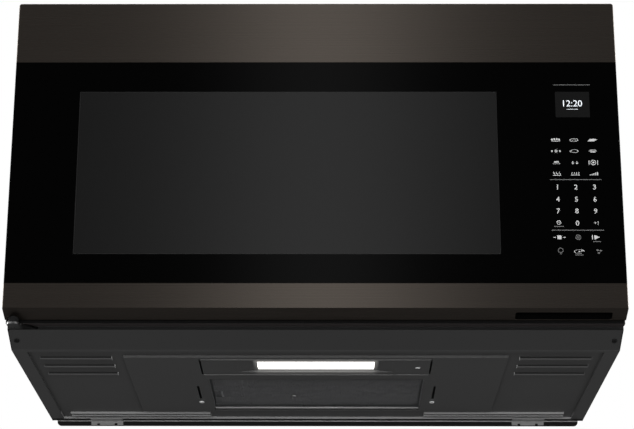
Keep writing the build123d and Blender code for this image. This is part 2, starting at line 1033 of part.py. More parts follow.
def make_transformer_coils():
    low = bay_floor + sheet + core_yoke
    high = bay_floor + sheet + core_h - core_yoke
    each = (high - low - 3 * coil_gap) / 2
    reach = core_leg / 2 + core_window - coil_gap
    depth_y = core_d / 2 + coil_over
    coils = []
    for z in (low + coil_gap, low + 2 * coil_gap + each):
        coil = block(
            core_x - reach, core_x + reach, core_y - depth_y, core_y + depth_y, z, z + each)
        coil = rounded(coil, Axis.Z, coil_r)
        coil -= block(
            core_x - core_leg / 2, core_x + core_leg / 2,
            core_y - core_d / 2, core_y + core_d / 2, z - past, z + each + past)
        coils.append(coil)
    return Compound(children=coils)


def make_capacitor():
    low = bay_floor + sheet
    y = core_y - core_d / 2 - coil_over - can_gap - can_d / 2
    can = block(
        core_x - can_w / 2, core_x + can_w / 2, y - can_d / 2, y + can_d / 2, low, low + can_h)
    can = rounded(can, Axis.Z, can_r)
    can += block(
        core_x - strap_w / 2, core_x + strap_w / 2, y - strap_d / 2, y + strap_d / 2,
        low + strap_z, low + strap_z + strap_h)
    for x in (core_x - blade_tag_off, core_x + blade_tag_off):
        can += block(
            x - blade_tag_w / 2, x + blade_tag_w / 2, y - blade_tag_t / 2, y + blade_tag_t / 2,
            low + can_h, low + can_h + blade_tag_h)
    return can


def make_power_board():
    x0 = bay_x0 + pcb_left_gap
    x1 = inner_x - pcb_right_gap
    y0 = frame_back + pcb_front_gap
    y1 = y0 + pcb_l
    z = cavity_top + pcb_rise
    top = z + board_t
    board = block(x0, x1, y0, y1, z, top)
    mains_x = x0 + part_gap
    board += block(
        mains_x, mains_x + mains_w, y0 + part_gap, y0 + part_gap + mains_l, top, top + mains_h)
    relay_x = mains_x + mains_w + part_gap
    for x in (relay_x, relay_x + relay_pitch):
        board += block(
            x, x + relay_w, y0 + part_gap, y0 + part_gap + relay_l, top, top + relay_h)
    row_y = y1 - header_l - 2 * part_gap
    smooth_x = mains_x + mains_w / 2
    small_x = smooth_x + smooth_r + small_r + part_gap
    board += rod_z(smooth_r, top, top + smooth_h, smooth_x, row_y)
    board += rod_z(small_r, top, top + small_h, small_x, row_y)
    header_x = small_x + small_r + part_gap
    board += block(header_x, header_x + header_w, row_y, row_y + header_l, top, top + header_h)
    for x in (x0 + standoff_in, x1 - standoff_in):
        for y in (y0 + standoff_in, y1 - standoff_in):
            board += rod_z(standoff_r, z - standoff_h, z, x, y)
    return board + board_tray(y0 - tray_edge, y1 + tray_edge, z - standoff_h)


def board_tray(y0, y1, top):
    x0 = bay_x0 - tray_lap
    tray = block(x0, inner_x, y0, y1, top - tray_sheet, top)
    tray += block(inner_x - tray_sheet, inner_x, y0, y1, top - tray_sheet, top + tray_flange)
    tray += block(x0, x0 + tray_sheet, y0, y1, cavity_top + cavity_t, top)
    return tray


# ---- cooling fan ----

def make_fan_shroud():
    y = fan_y + fan_depth / 2
    front = y - fan_depth
    hole = fan_r + fan_gap
    wall = block(
        bay_x0 + sheet, inner_x - 2 * sheet, y, y + shroud_t,
        bay_floor + sheet, fan_z + fan_r + shroud_top)
    wall += rod_y(hole + shroud_t, front, y + shroud_t, fan_x, fan_z)
    wall -= rod_y(hole, front - past, y + shroud_t + past, fan_x, fan_z)
    reach = hole + shroud_t / 2
    half = spoke_w / 2
    spokes = block(fan_x - reach, fan_x + reach, y, y + spoke_t, fan_z - half, fan_z + half)
    spokes += block(fan_x - half, fan_x + half, y, y + spoke_t, fan_z - reach, fan_z + reach)
    spokes -= rod_y(fan_shaft_r + running_gap, y - past, y + spoke_t + past, fan_x, fan_z)
    return wall + spokes


def make_fan_motor():
    y = fan_y + fan_depth / 2 + spoke_t
    half = fan_motor_w / 2
    motor = block(fan_x - half, fan_x + half, y, y + fan_motor_l, fan_z - half, fan_z + half)
    motor = rounded(motor, Axis.Y, fan_motor_r)
    motor -= rod_y(fan_shaft_r + pin_clearance, y - past, y + fan_shaft_l, fan_x, fan_z)
    return motor


def make_fan_wheel():
    front = fan_y - fan_depth / 2 + past
    hub_back = fan_y + fan_depth / 2 - fan_gap
    hub = rod_y(fan_hub_r, front, hub_back, fan_x, fan_z)
    hub = fillet(hub.edges().group_by(Axis.Y)[0], fan_hub_round)
    span = fan_r - fan_hub_r
    blade = Pos(0, 0, fan_hub_r + span / 2 - past) * Rot(0, 0, 35) * Box(fan_chord, fan_blade_t, span)
    for i in range(fan_blades):
        turn = Rot(0, 360 / fan_blades * i, 0)
        hub += Pos(fan_x, fan_y, fan_z) * turn * blade
    shaft_end = fan_y + fan_depth / 2 + fan_shaft_l
    return hub + rod_y(fan_shaft_r, hub_back, shaft_end, fan_x, fan_z)


# ---- hood blower ----

def scroll_body(x0, x1, grow):
    near = wheel_r + scroll_near + grow
    rise = tongue_rise - grow
    start = -math.asin(rise / near)
    stop = math.radians(270)
    steps = 12
    points = []
    for i in range(steps + 1):
        angle = start + (stop - start) * i / steps
        r = near + (scroll_far - scroll_near) * i / steps
        points.append((x0, blower_y - r * math.cos(angle), blower_z - r * math.sin(angle)))
    mouth = blower_mouth_y()
    spiral = Spline(*points)
    duct = Polyline(
        points[-1], (x0, mouth, points[-1][2]), (x0, mouth, blower_z + rise), points[0])
    face = make_face(Wire([spiral, *duct.edges()]))
    return extrude(face, amount=x1 - x0, dir=(1, 0, 0))


def blower_mouth_y():
    return blower_y - wheel_r - scroll_mouth


def scroll_sides(side):
    near = side * (wheel_start - scroll_side)
    far = side * (wheel_start + wheel_w + scroll_side)
    return min(near, far), max(near, far)


def make_blower_housing():
    foot = cavity_top + cavity_t
    housing = None
    for side in (-1, 1):
        low, high = scroll_sides(side)
        body = scroll_body(low - scroll_wall, high + scroll_wall, scroll_wall)
        for x in (low + saddle_inset, high - saddle_inset):
            body += block(
                x - saddle_w / 2, x + saddle_w / 2, blower_y - saddle_l / 2,
                blower_y + saddle_l / 2, foot, blower_z - wheel_r)
        body -= scroll_body(low, high, 0)
        mouth = blower_mouth_y()
        body -= block(
            low, high, mouth - past, mouth + past,
            blower_z + tongue_rise, blower_z + wheel_r + scroll_far)
        body -= rod_x(
            wheel_inner + inlet_gap, low - scroll_wall - past, high + scroll_wall + past,
            blower_y, blower_z)
        housing = body if housing is None else housing + body
    near = wheel_start - scroll_side
    bridge = block(
        -near, near, blower_y - saddle_l / 2, blower_y + saddle_l / 2,
        foot, foot + 2 * scroll_wall)
    return housing + bridge


def make_blower_motor():
    half = blower_motor_l / 2
    motor = rod_x(blower_motor_r, -half, half, blower_y, blower_z)
    motor = fillet(motor.edges().filter_by(GeomType.CIRCLE), motor_edge_r)
    motor += block(
        -motor_foot_l / 2, motor_foot_l / 2, blower_y - motor_foot_w / 2,
        blower_y + motor_foot_w / 2, cavity_top + cavity_t + 2 * scroll_wall,
        blower_z - motor_foot_in)
    motor -= rod_x(blower_shaft_r + pin_clearance, -half - past, half + past, blower_y, blower_z)
    return motor


def make_blower_shaft():
    reach = wheel_start + wheel_w * shaft_share
    return rod_x(blower_shaft_r, -reach, reach, blower_y, blower_z)


def make_blower_wheel(side):
    low = min(side * wheel_start, side * (wheel_start + wheel_w))
    middle = low + wheel_w / 2
    wheel = rod_x(wheel_r - 2 * scroll_wall / 2, middle - hub_disc_t / 2, middle + hub_disc_t / 2, 0, 0)
    wheel += rod_x(boss_r, middle - boss_l / 2, middle + boss_l / 2, 0, 0)
    for x in (low, low + wheel_w - wheel_rim_l):
        rim = rod_x(wheel_r, x, x + wheel_rim_l, 0, 0)
        rim -= rod_x(wheel_inner, x - past, x + wheel_rim_l + past, 0, 0)
        wheel += rim
    lean = math.radians(24)
    root = (wheel_inner + blade_inset / 4, 0)
    reach = wheel_r - blade_inset / 4
    tip = (reach * math.cos(lean), reach * math.sin(lean))
    bow = ((root[0] + tip[0]) / 2 + blade_camber, (root[1] + tip[1]) / 2 - blade_camber)
    spine = ThreePointArc(root, bow, tip)
    profile = make_face(offset(spine, amount=blade_t, side=Side.LEFT))
    inset = wheel_rim_l / 4
    blade = Pos(low + inset, 0, 0) * Rot(0, 90, 0) * extrude(profile, amount=wheel_w - 2 * inset)
    wheel = wheel + [Rot(360 / blade_count * i, 0, 0) * blade for i in range(blade_count)]
    wheel -= rod_x(blower_shaft_r, low - past, low + wheel_w + past, 0, 0)
    return Pos(0, blower_y, blower_z) * wheel


# ---- top of the case ----

def make_top_grille():
    front = case_front + grille_front
    back = front + grille_run
    low = case_h - grille_t
    inner_half = grille_x - grille_rim
    rim = block(-grille_x, grille_x, front, back, low, case_h)
    rim -= block(
        -inner_half, inner_half, front + grille_rim, back - grille_rim, low - past, case_h + past)
    pitch = 2 * inner_half / grille_bars
    for i in range(1, grille_bars):
        x = -inner_half + i * pitch
        rim += block(
            x - grille_bar / 2, x + grille_bar / 2, front + grille_rim, back - grille_rim,
            low + grille_bar, case_h)
    middle = (front + back) / 2
    rim += block(
        -inner_half, inner_half, middle - grille_rim / 2, middle + grille_rim / 2, low, case_h)
    shelf = low - charcoal_t - 3 * running_gap - grille_shelf
    for side in (-1, 1):
        outer = side * grille_x
        wall = side * inner_half
        rail = side * (grille_x - grille_rail)
        rim += block(*sorted((outer, wall)), front, back, shelf, low)
        rim += block(*sorted((outer, rail)), front, back, shelf, shelf + grille_shelf)
    return rim


def make_charcoal_filter():
    front = case_front + grille_front + charcoal_gap
    back = front + grille_run - 2 * charcoal_gap
    half = grille_x - charcoal_side_gap
    top = case_h - grille_t - running_gap
    pad = block(-half, half, front, back, top - charcoal_t, top)
    return pad - block(
        -half + charcoal_card, half - charcoal_card, front + charcoal_card,
        back - charcoal_card, top - charcoal_dish, top + past)


def make_exhaust_cover():
    back = case_back - exhaust_rear_gap
    front = back - exhaust_run
    half = exhaust_w / 2
    cover = block(-half, half, front, back, case_h - sheet, case_h)
    return cover + block(
        -half - exhaust_hem, half + exhaust_hem, front - exhaust_hem, back + exhaust_hem,
        case_h - 2 * sheet, case_h - sheet)


def make_cord_bushing():
    r = cord_hole_r + bush_wall
    bush = rod_z(r, case_h - bushing_drop, case_h + bushing_rise, cord_x, cord_y)
    bush += rod_z(
        r + bushing_flange, case_h - sheet - bushing_flange_t, case_h - sheet, cord_x, cord_y)
    return bush - rod_z(
        cord_hole_r, case_h - bushing_drop - past, case_h + bushing_rise + past, cord_x, cord_y)


def make_bolt_plates():
    plates = []
    half = bolt_plate / 2
    top = case_h - sheet
    boss_top = top - bolt_plate_t
    for x in (-bolt_x, bolt_x):
        plate = block(x - half, x + half, bolt_y - half, bolt_y + half, boss_top, top)
        plate += rod_z(bolt_r + bolt_boss, boss_top - bolt_boss_h, boss_top, x, bolt_y)
        plate -= rod_z(bolt_r, boss_top - bolt_boss_h - past, top + past, x, bolt_y)
        plates.append(plate)
    return Compound(children=plates)


# ---- cooktop lamp and grease filter ----

def make_lamp_cover():
    half = lamp_w / 2
    y0 = from_front(lamp_front) + seam
    y1 = from_front(lamp_back) - seam
    body = block(-half, half, y0, y1, 0, lamp_h)
    body += block(-half, half, y0 - lip, y1 + lip, sheet, sheet + lip_t)
    body -= block(
        -half + lamp_wall, half - lamp_wall, y0 + lamp_wall, y1 - lamp_wall,
        recess_depth + lens_t, lamp_h - lamp_wall)
    front = from_front(pocket_front)
    back = from_front(pocket_back)
    mouth = [
        (-pocket_w / 2, -seam),
        (pocket_w / 2, -seam),
        (lens_w / 2 + sheet, recess_depth),
        (-lens_w / 2 - sheet, recess_depth),
    ]
    body -= prism_y(mouth, front, back)
    body -= block(
        -lens_w / 2, lens_w / 2, front, back, recess_depth - past, recess_depth + lens_t + past)
    return body


def make_lamp_lens():
    front = from_front(pocket_front)
    back = from_front(pocket_back)
    top = recess_depth + lens_t
    lens = block(
        -lens_w / 2 + seam, lens_w / 2 - seam, front + seam, back - seam, recess_depth, top)
    return lens + block(
        -lens_w / 2 - lens_rim, lens_w / 2 + lens_rim, front - lens_rim, back + lens_rim,
        top, top + lens_rim_t)


def make_filter_frame():
    half = filter_w / 2
    y0 = from_front(filter_front)
    y1 = from_front(filter_back)
    frame = block(-half, half, y0, y1, sheet, sheet + filter_t)
    return frame - block(
        -half + filter_rim, half - filter_rim, y0 + filter_rim, y1 - sheet,
        0, sheet + filter_t + past)


def make_filter_mesh():
    half = filter_w / 2 - filter_rim
    y0 = from_front(filter_front) + filter_rim
    y1 = from_front(filter_back) - sheet
    top = recess_depth + mesh_base
    mesh = block(-half, half, y0, y1, recess_depth, top)
    count = int(2 * half / mesh_pitch)
    for i in range(count):
        x = (i - (count - 1) / 2) * mesh_pitch
        ridge = [(x - mesh_ridge / 2, top), (x + mesh_ridge / 2, top), (x, top + mesh_t)]
        mesh += prism_y(ridge, y0, y1)
    return mesh


def make_filter_pull():
    x = -pull_x - pull_reach / 2
    y0 = from_front(pull_front)
    y1 = from_front(pull_back)
    r = pull_wire / 2
    low = recess_depth - r - pull_drop
    path = FilletPolyline(
        (x, y0, recess_depth), (x, y0, low), (x + pull_reach, y0, low),
        (x + pull_reach, y1, low), (x, y1, low), (x, y1, recess_depth), radius=pull_bend)
    section = Plane(origin=path @ 0, z_dir=path % 0) * Circle(r)
    return sweep(section, path=path)


# ---- turntable ----

def make_turntable_motor():
    top = cavity_floor - cavity_t
    motor = rod_z(motor_r, top - motor_h, top, cavity_x, cavity_y)
    motor = fillet(motor.edges().group_by(Axis.Z)[0], motor_round)
    motor += block(
        cavity_x - motor_ear, cavity_x + motor_ear, cavity_y - motor_ear_w / 2,
        cavity_y + motor_ear_w / 2, top - motor_ear_t, top)
    return motor - rod_z(
        motor_shaft_r + pin_clearance, top - motor_shaft_in - past, top + past,
        cavity_x, cavity_y)


def make_coupler():
    z0 = cavity_floor + running_gap
    hub = rod_z(coupler_r / 2, z0, tray_z, cavity_x, cavity_y)
    arm = block(-coupler_r, 0, -coupler_arm / 2, coupler_arm / 2, tray_z - coupler_arm, tray_z)
    for i in range(3):
        hub += Pos(cavity_x, cavity_y, 0) * Rot(0, 0, 120 * i) * arm
    shaft_low = cavity_floor - cavity_t - motor_shaft_in
    return hub + rod_z(motor_shaft_r, shaft_low, z0, cavity_x, cavity_y)


def make_tray():
    flat_r = tray_r - tray_flat_gap
    track_r1 = tray_r - track_outer_gap
    track_r0 = track_r1 - track_w
    low = tray_z - tray_drop
    top = tray_z + tray_rim
    profile = Polyline(
        (0, tray_z),
        (flat_r, tray_z),
        (track_r0, low),
        (track_r1, low),
        (tray_r - rim_inset, top - tray_t),
        (tray_r, top - tray_t),
        (tray_r, top),
        (tray_r - rim_inset - lip_t, top),
        (track_r1 - lip_t, low + tray_t),
        (track_r0, low + tray_t),
        (flat_r, tray_z + tray_t),
        (0, tray_z + tray_t),
        close=True)
    tray = revolve(Plane.XZ * make_face(profile), Axis.Z)
    return Pos(cavity_x, cavity_y, 0) * tray


def roller_angles():
    return [roller_start + i * 360 / roller_count for i in range(roller_count)]


def make_roller_ring():
    z = cavity_floor + running_gap + roller_r
    outer = ring_r - ring_edge
    ring = rod_z(outer, z - ring_t / 2, z + ring_t / 2, 0, 0)
    ring -= rod_z(outer - ring_w, z - ring_t, z + ring_t, 0, 0)
    collar_at = ring_r - roller_w / 2 - axle_play - collar_l / 2
    cap_at = ring_r + roller_w / 2 + axle_play + cap_l / 2
    for angle in roller_angles():
        axle = Pos(0, 0, z) * Rot(0, 0, angle) * Rot(0, 90, 0)
        length = cap_at - collar_at + collar_l
        ring += axle * Pos(0, 0, (cap_at + collar_at) / 2) * Cylinder(axle_r, length)
        ring += axle * Pos(0, 0, collar_at) * Cylinder(collar_r, collar_l)
        ring += axle * Pos(0, 0, cap_at) * Cylinder(cap_r, cap_l)
    return Pos(cavity_x, cavity_y, 0) * ring


def make_roller(angle):
    z = cavity_floor + running_gap + roller_r
    roller = Cylinder(roller_r, roller_w)
    roller = fillet(roller.edges().filter_by(GeomType.CIRCLE), roller_round)
    roller -= Cylinder(roller_bore, roller_w + past)
    place = Pos(cavity_x, cavity_y, z) * Rot(0, 0, angle) * Rot(0, 90, 0)
    return place * Pos(0, 0, ring_r) * roller


# ---- door ----

def hinge_pocket():
    return rod_z(
        hinge_pocket_r, upper_hinge_z - hinge_pocket_gap,
        upper_hinge_z + hinge_plate_t + hinge_pocket_gap, hinge_x, hinge_y)


def make_door_carrier():
    gap = trim_t + seam
    x = door_x - gap
    front = door_front + glass_t + seam
    z0 = door_bottom
    z1 = door_top - gap
    carrier = block(-x, x, front, door_back, z0, z1)
    rear_left = carrier.edges().filter_by(Axis.Z).group_by(Axis.X)[0].group_by(Axis.Y)[-1]
    carrier = fillet(rear_left, hinge_inset - gap)
    rear_right = carrier.edges().filter_by(Axis.Z).group_by(Axis.X)[-1].group_by(Axis.Y)[-1]
    carrier = fillet(rear_right, carrier_edge_r)
    envelope = block(-x, x, front - past, door_back + past, z0 - past, z1)
    corners = envelope.edges().filter_by(Axis.Y).group_by(Axis.Z)[-1]
    carrier = carrier & fillet(corners, trim_r)
    carrier -= block(
        -x + hinge_stile, x - carrier_wall, front - past, door_back - carrier_wall,
        glass_bottom, z1 - carrier_wall)
    carrier -= chamfer_clearance(x)
    window = choke_window(choke_t)
    carrier -= block(*window[:2], door_back - carrier_back, door_back + past, *window[2:])
    carrier -= hinge_pocket()
    carrier -= rod_z(bush_r, door_bottom - past, door_bottom + bush_h, hinge_x, hinge_y)
    z = upper_hinge_z - hinge_pocket_gap
    carrier -= rod_z(bush_r, z - bush_h, z + past, hinge_x, hinge_y)
    for z in hook_levels():
        carrier -= latch_window(z, door_back - carrier_back, door_back, hook_room / 2)
    carrier -= grip_box(grip_wall)
    return carrier + latch_guides()


def chamfer_height(distance):
    return band_bottom - chamfer_rise * distance / chamfer_run


def chamfer_clearance(x):
    y_end = door_front + chamfer_run
    rest = glass_t + carrier_rest
    gap = trim_t + seam
    side = [
        (door_front - past, glass_bottom),
        (door_front - past, door_bottom - past),
        (y_end + 2 * past, door_bottom - past),
        (y_end + 2 * past, chamfer_z + gap),
        (door_front + rest, chamfer_height(rest) + gap),
        (door_front + rest, glass_bottom),
    ]
    return prism_x(side, -x - past, x + past)


def choke_window(grow):
    return (
        cavity_x0 - choke_side - grow, latch_x - latch_w / 2 - guide_wall - past + grow,
        cavity_floor - choke_over - grow, cavity_top + choke_over + grow)


def make_door_glass():
    glass = block(
        -door_x, door_x, door_front + glass_setback, door_front + glass_t,
        glass_bottom + seam, glass_top - seam)
    return fillet(glass.edges().filter_by(Axis.Z).group_by(Axis.Y)[0], glass_edge_r)


def make_door_top_trim():
    end = door_front + trim_depth
    trim = block(-door_x, door_x, door_front, end, glass_top, door_top)
    trim = fillet(trim.edges().filter_by(Axis.Y).group_by(Axis.Z)[-1], trim_r)
    front = trim.faces().sort_by(Axis.Y)[0]
    trim = fillet(front.edges().filter_by(Axis.Z), trim_edge_r)
    inner = block(
        -door_x + trim_t, door_x - trim_t, door_front + trim_t, end + past,
        glass_top + trim_t, door_top - trim_t)
    trim -= fillet(inner.edges().filter_by(Axis.Y).group_by(Axis.Z)[-1], trim_r - trim_t)
    trim -= block(
        -door_x - past, door_x + past, door_front + glass_t, end + past,
        glass_top - past, glass_top + trim_t)
    return trim - hinge_pocket()


def make_door_bottom_trim():
    y_end = door_front + chamfer_run
    side = [
        (door_front, glass_bottom),
        (door_front, band_bottom),
        (y_end, chamfer_z),
        (y_end, glass_bottom),
    ]
    trim = prism_x(side, -door_x, door_x)
    trim = fillet(trim.edges().filter_by(Axis.Z).group_by(Axis.Y)[0], trim_edge_r)
    inner = [
        (door_front + trim_t, glass_bottom - trim_t),
        (door_front + trim_t, chamfer_height(trim_t) + trim_t),
        (y_end, chamfer_z + trim_t),
        (y_end + past, chamfer_z + trim_t),
        (y_end + past, glass_bottom - trim_t),
    ]
    trim -= prism_x(inner, -door_x + trim_t, door_x - trim_t)
    trim -= block(
        -door_x - past, door_x + past, door_front + glass_t, y_end + past,
        glass_bottom - trim_t, glass_bottom + past)
    trim -= grip_box(0)
    return trim - rod_z(bush_r + seam, 0, door_bottom + bush_h, hinge_x, hinge_y)


def grip_box(grow):
    hole = block(
        grip_x0 - grow, grip_x1 + grow, from_front(grip_front) - grow, from_front(grip_back) + grow,
        door_bottom - past, band_bottom + grip_h + grow)
    return rounded(hole, Axis.Z, grip_r)


def make_door_grip():
    cup = grip_box(grip_wall) - grip_box(0)
    roof = band_bottom + grip_h
    cup += block(
        grip_x0, grip_x1, from_front(grip_front), from_front(grip_back), roof, roof + grip_wall)
    y_end = door_front + chamfer_run
    gap = trim_t + seam
    under = [
        (door_front - past, band_bottom + gap),
        (door_front, band_bottom + gap),
        (y_end, chamfer_z + gap),
        (y_end + grip_back, chamfer_z + gap),
        (y_end + grip_back, 0),
        (door_front - past, 0),
    ]
    return cup - prism_x(under, grip_x0 - 2 * grip_wall, grip_x1 + 2 * grip_wall)


def make_choke_panel():
    x0, x1, z0, z1 = choke_window(0)
    rear = door_back - choke_setback
    front = rear - choke_depth
    sx0 = cavity_x0 + screen_margin
    sx1 = cavity_x1 - screen_margin
    sz0 = cavity_floor + screen_margin
    sz1 = cavity_top - screen_margin
    t = choke_t
    panel = block(x0, x1, front, rear, z0, z1)
    panel -= block(x0 + t, x1 - t, front + t, rear + past, z0 + t, z1 - t)
    panel += block(sx0, sx1, front + t, rear - dish_setback, sz0, sz1)
    panel -= block(sx0 + t, sx1 - t, front + t, rear + past, sz0 + t, sz1 - t)
    return panel + choke_teeth(x0, x1, z0, z1, rear)


def choke_teeth(x0, x1, z0, z1, rear):
    teeth = []
    y0 = rear - choke_t
    half = (choke_pitch - choke_slot_w) / 2
    inset = choke_inset
    count_x = int((x1 - x0 - 2 * choke_reach) / choke_pitch)
    count_z = int((z1 - z0 - 2 * choke_reach) / choke_pitch)
    for i in range(count_x):
        x = (x0 + x1) / 2 + (i - (count_x - 1) / 2) * choke_pitch
        teeth.append(block(x - half, x + half, y0, rear, z0 + inset, z0 + choke_reach))
        teeth.append(block(x - half, x + half, y0, rear, z1 - choke_reach, z1 - inset))
    for i in range(count_z):
        z = (z0 + z1) / 2 + (i - (count_z - 1) / 2) * choke_pitch
        teeth.append(block(x0 + inset, x0 + choke_reach, y0, rear, z - half, z + half))
        teeth.append(block(x1 - choke_reach, x1 - inset, y0, rear, z - half, z + half))
    return teeth


def make_choke_cover():
    x0, x1, z0, z1 = choke_window(-cover_gap)
    inset = screen_margin + cover_hem
    cover = block(x0, x1, door_back - cover_t, door_back, z0, z1)
    cover -= block(
        cavity_x0 + inset, cavity_x1 - inset, door_back - cover_t - past, door_back + past,
        cavity_floor + inset, cavity_top - inset)
    return rounded(cover, Axis.Y, cover_hem)


def make_inner_glass():
    y1 = door_back - choke_setback - dish_setback + inner_glass_t
    inset = screen_margin + choke_t + inner_glass_gap
    return block(
        cavity_x0 + inset, cavity_x1 - inset, y1 - inner_glass_t, y1,
        cavity_floor + inset, cavity_top - inset)


def make_display_board():
    y0 = door_front + glass_t + board_setback
    y1 = y0 + board_t
    board = block(board_x0, board_x1, y0, y1, board_z0, board_z1)
    board += block(
        display_x - display_w / 2, display_x + display_w / 2, y0 - display_t, y0,
        display_z - display_h / 2, display_z + display_h / 2)
    plug_x = board_x0 + plug_inset
    plug_z = board_z0 + plug_foot
    return board + block(plug_x, plug_x + plug_w, y1, y1 + plug_t, plug_z, plug_z + plug_h)


def make_touch_holder():
    y0 = door_front + glass_t + holder_front_gap
    y1 = door_front + glass_t + board_setback
    end = y1 + holder_back
    grow = holder_gap + holder_wall
    holder = block(
        board_x0 - grow, board_x1 + grow, y0, end, board_z0 - grow, board_z1 + grow)
    holder -= block(
        board_x0 + holder_wall, board_x1 - holder_wall, y0 - past, y1,
        board_z0 + holder_wall, board_z1 - holder_wall)
    gap = holder_gap
    holder -= block(
        board_x0 - gap, board_x1 + gap, y1, end + past, board_z0 - gap, board_z1 + gap)
    x = board_x1 + grow
    for z in (board_z0 + lug_end_gap, board_z1 - lug_end_gap):
        holder += block(x, x + lug_l, y1, door_back - carrier_wall, z - lug_h / 2, z + lug_h / 2)
    return holder


# ---- hinges ----

def hinge_arm(z, back, foot, head):
    half = hinge_arm_w / 2
    arm = block(hinge_x - half, hinge_x + half, hinge_y, back, z, z + hinge_plate_t)
    arm += rod_z(half, z, z + hinge_plate_t, hinge_x, hinge_y)
    inner = hinge_x - half + sheet
    return arm + block(inner, inner + hinge_leaf_w, back, back + hinge_leaf_t, foot, head)


def make_upper_hinge():
    z = upper_hinge_z
    hinge = hinge_arm(z, frame_back, z - hinge_leaf_h, z + hinge_plate_t)
    return hinge + rod_z(pin_r, z - bush_h + bush_end, z, hinge_x, hinge_y)


def make_lower_hinge():
    z = lower_hinge_z
    hinge = hinge_arm(z, frame_back + sheet, z + sheet, z + hinge_leaf_h)
    edge = hinge_x + hinge_arm_w / 2
    back = case_front - 2 * seam
    gusset = [(edge, hinge_y), (edge, back), (edge + gusset_w, back)]
    hinge += prism_z(gusset, z, z + hinge_plate_t)
    return hinge + rod_z(pin_r, z, door_bottom + bush_h - 2 * bush_end, hinge_x, hinge_y)


def make_door_bushes():
    r = pin_r + pin_clearance
    top = door_bottom + bush_h
    lower = rod_z(bush_r, door_bottom, top, hinge_x, hinge_y)
    lower -= rod_z(r, door_bottom - past, top - bush_end, hinge_x, hinge_y)
    z = upper_hinge_z - hinge_pocket_gap
    upper = rod_z(bush_r, z - bush_h, z, hinge_x, hinge_y)
    upper -= rod_z(r, z - bush_h + bush_end, z + past, hinge_x, hinge_y)
    return Compound(children=[lower, upper])


# ---- latch and interlock ----

def make_latch_bar():
    x0 = latch_x - latch_w / 2
    x1 = latch_x + latch_w / 2
    y1 = door_back - carrier_wall - running_gap
    bar = block(x0, x1, y1 - latch_bar_t, y1, latch_z0, latch_z1 + latch_head)
    tip = door_back + door_gap + hook_reach
    throat = frame_back + hook_thin
    for z in hook_levels():
        hook = [
            (y1, z),
            (throat, z),
            (throat, z - hook_nose),
            (tip - hook_bevel, z - hook_nose),
            (tip, z + hook_nick),
            (tip, z + hook_h - hook_bevel / 2),
            (tip - hook_bevel / 2, z + hook_h),
            (y1, z + hook_h),
        ]
        bar += prism_x(hook, x0 + hook_thin, x1 - hook_thin)
    return bar


def latch_guides():
    y1 = door_back - carrier_wall
    half = latch_w / 2
    deep = latch_bar_t + 2 * running_gap
    guides = []
    for z in (latch_z0 + guide_low, latch_z1 - guide_high):
        x0 = latch_x - half - guide_wall
        x1 = latch_x + half + guide_wall
        guide = block(x0, x1, y1 - deep - guide_wall, y1, z, z + guide_h)
        guide -= block(
            latch_x - half - running_gap, latch_x + half + running_gap,
            y1 - deep, y1 + past, z - past, z + guide_h + past)
        guides.append(guide)
    return guides


def make_interlock_bracket():
    half = latch_w / 2
    x0 = latch_x - half - bracket_side
    x1 = latch_x + half + bracket_room
    y0 = frame_back
    y1 = y0 + hook_reach + bracket_past
    z0 = latch_z0 - bracket_ends
    z1 = latch_z1 + bracket_ends
    bracket = block(x0, x1, y0, y0 + bracket_front_t, z0, z1)
    bracket += block(x0, x0 + bracket_wall, y0, y1, z0, z1)
    for z in hook_levels():
        top = z - hook_nose - shelf_gap
        bracket += block(x0, latch_x + half + bracket_side, y0, y1, top - shelf_t, top)
        bracket -= latch_window(z, y0, y0 + bracket_front_t, hook_room)
    rib = bracket_rib / 2
    for z in (z0 + bracket_rib_end, (z0 + z1) / 2, z1 - bracket_rib_end):
        bracket += block(x0, x1, y0, y1 - bracket_ends, z - rib, z + rib)
    return bracket


def make_interlock_switches():
    x0 = latch_x + latch_w / 2 + switch_side
    y0 = frame_back + bracket_front_t
    y1 = y0 + switch_l
    low, high = hook_levels()
    switches = []
    for z in (low - switch_drop, low - switch_drop + switch_step, high - switch_drop):
        body = block(x0, x0 + switch_w, y0, y1, z, z + switch_h)
        tag_x = x0 + (switch_w - tag_w) / 2
        middle = z + (switch_h - tag_w) / 2
        for tag_z in (middle - tag_pitch / 2, middle + tag_pitch / 2):
            body += block(tag_x, tag_x + tag_w, y1, y1 + tag_l, tag_z, tag_z + tag_w)
        switches.append(body)
    return Compound(children=switches)


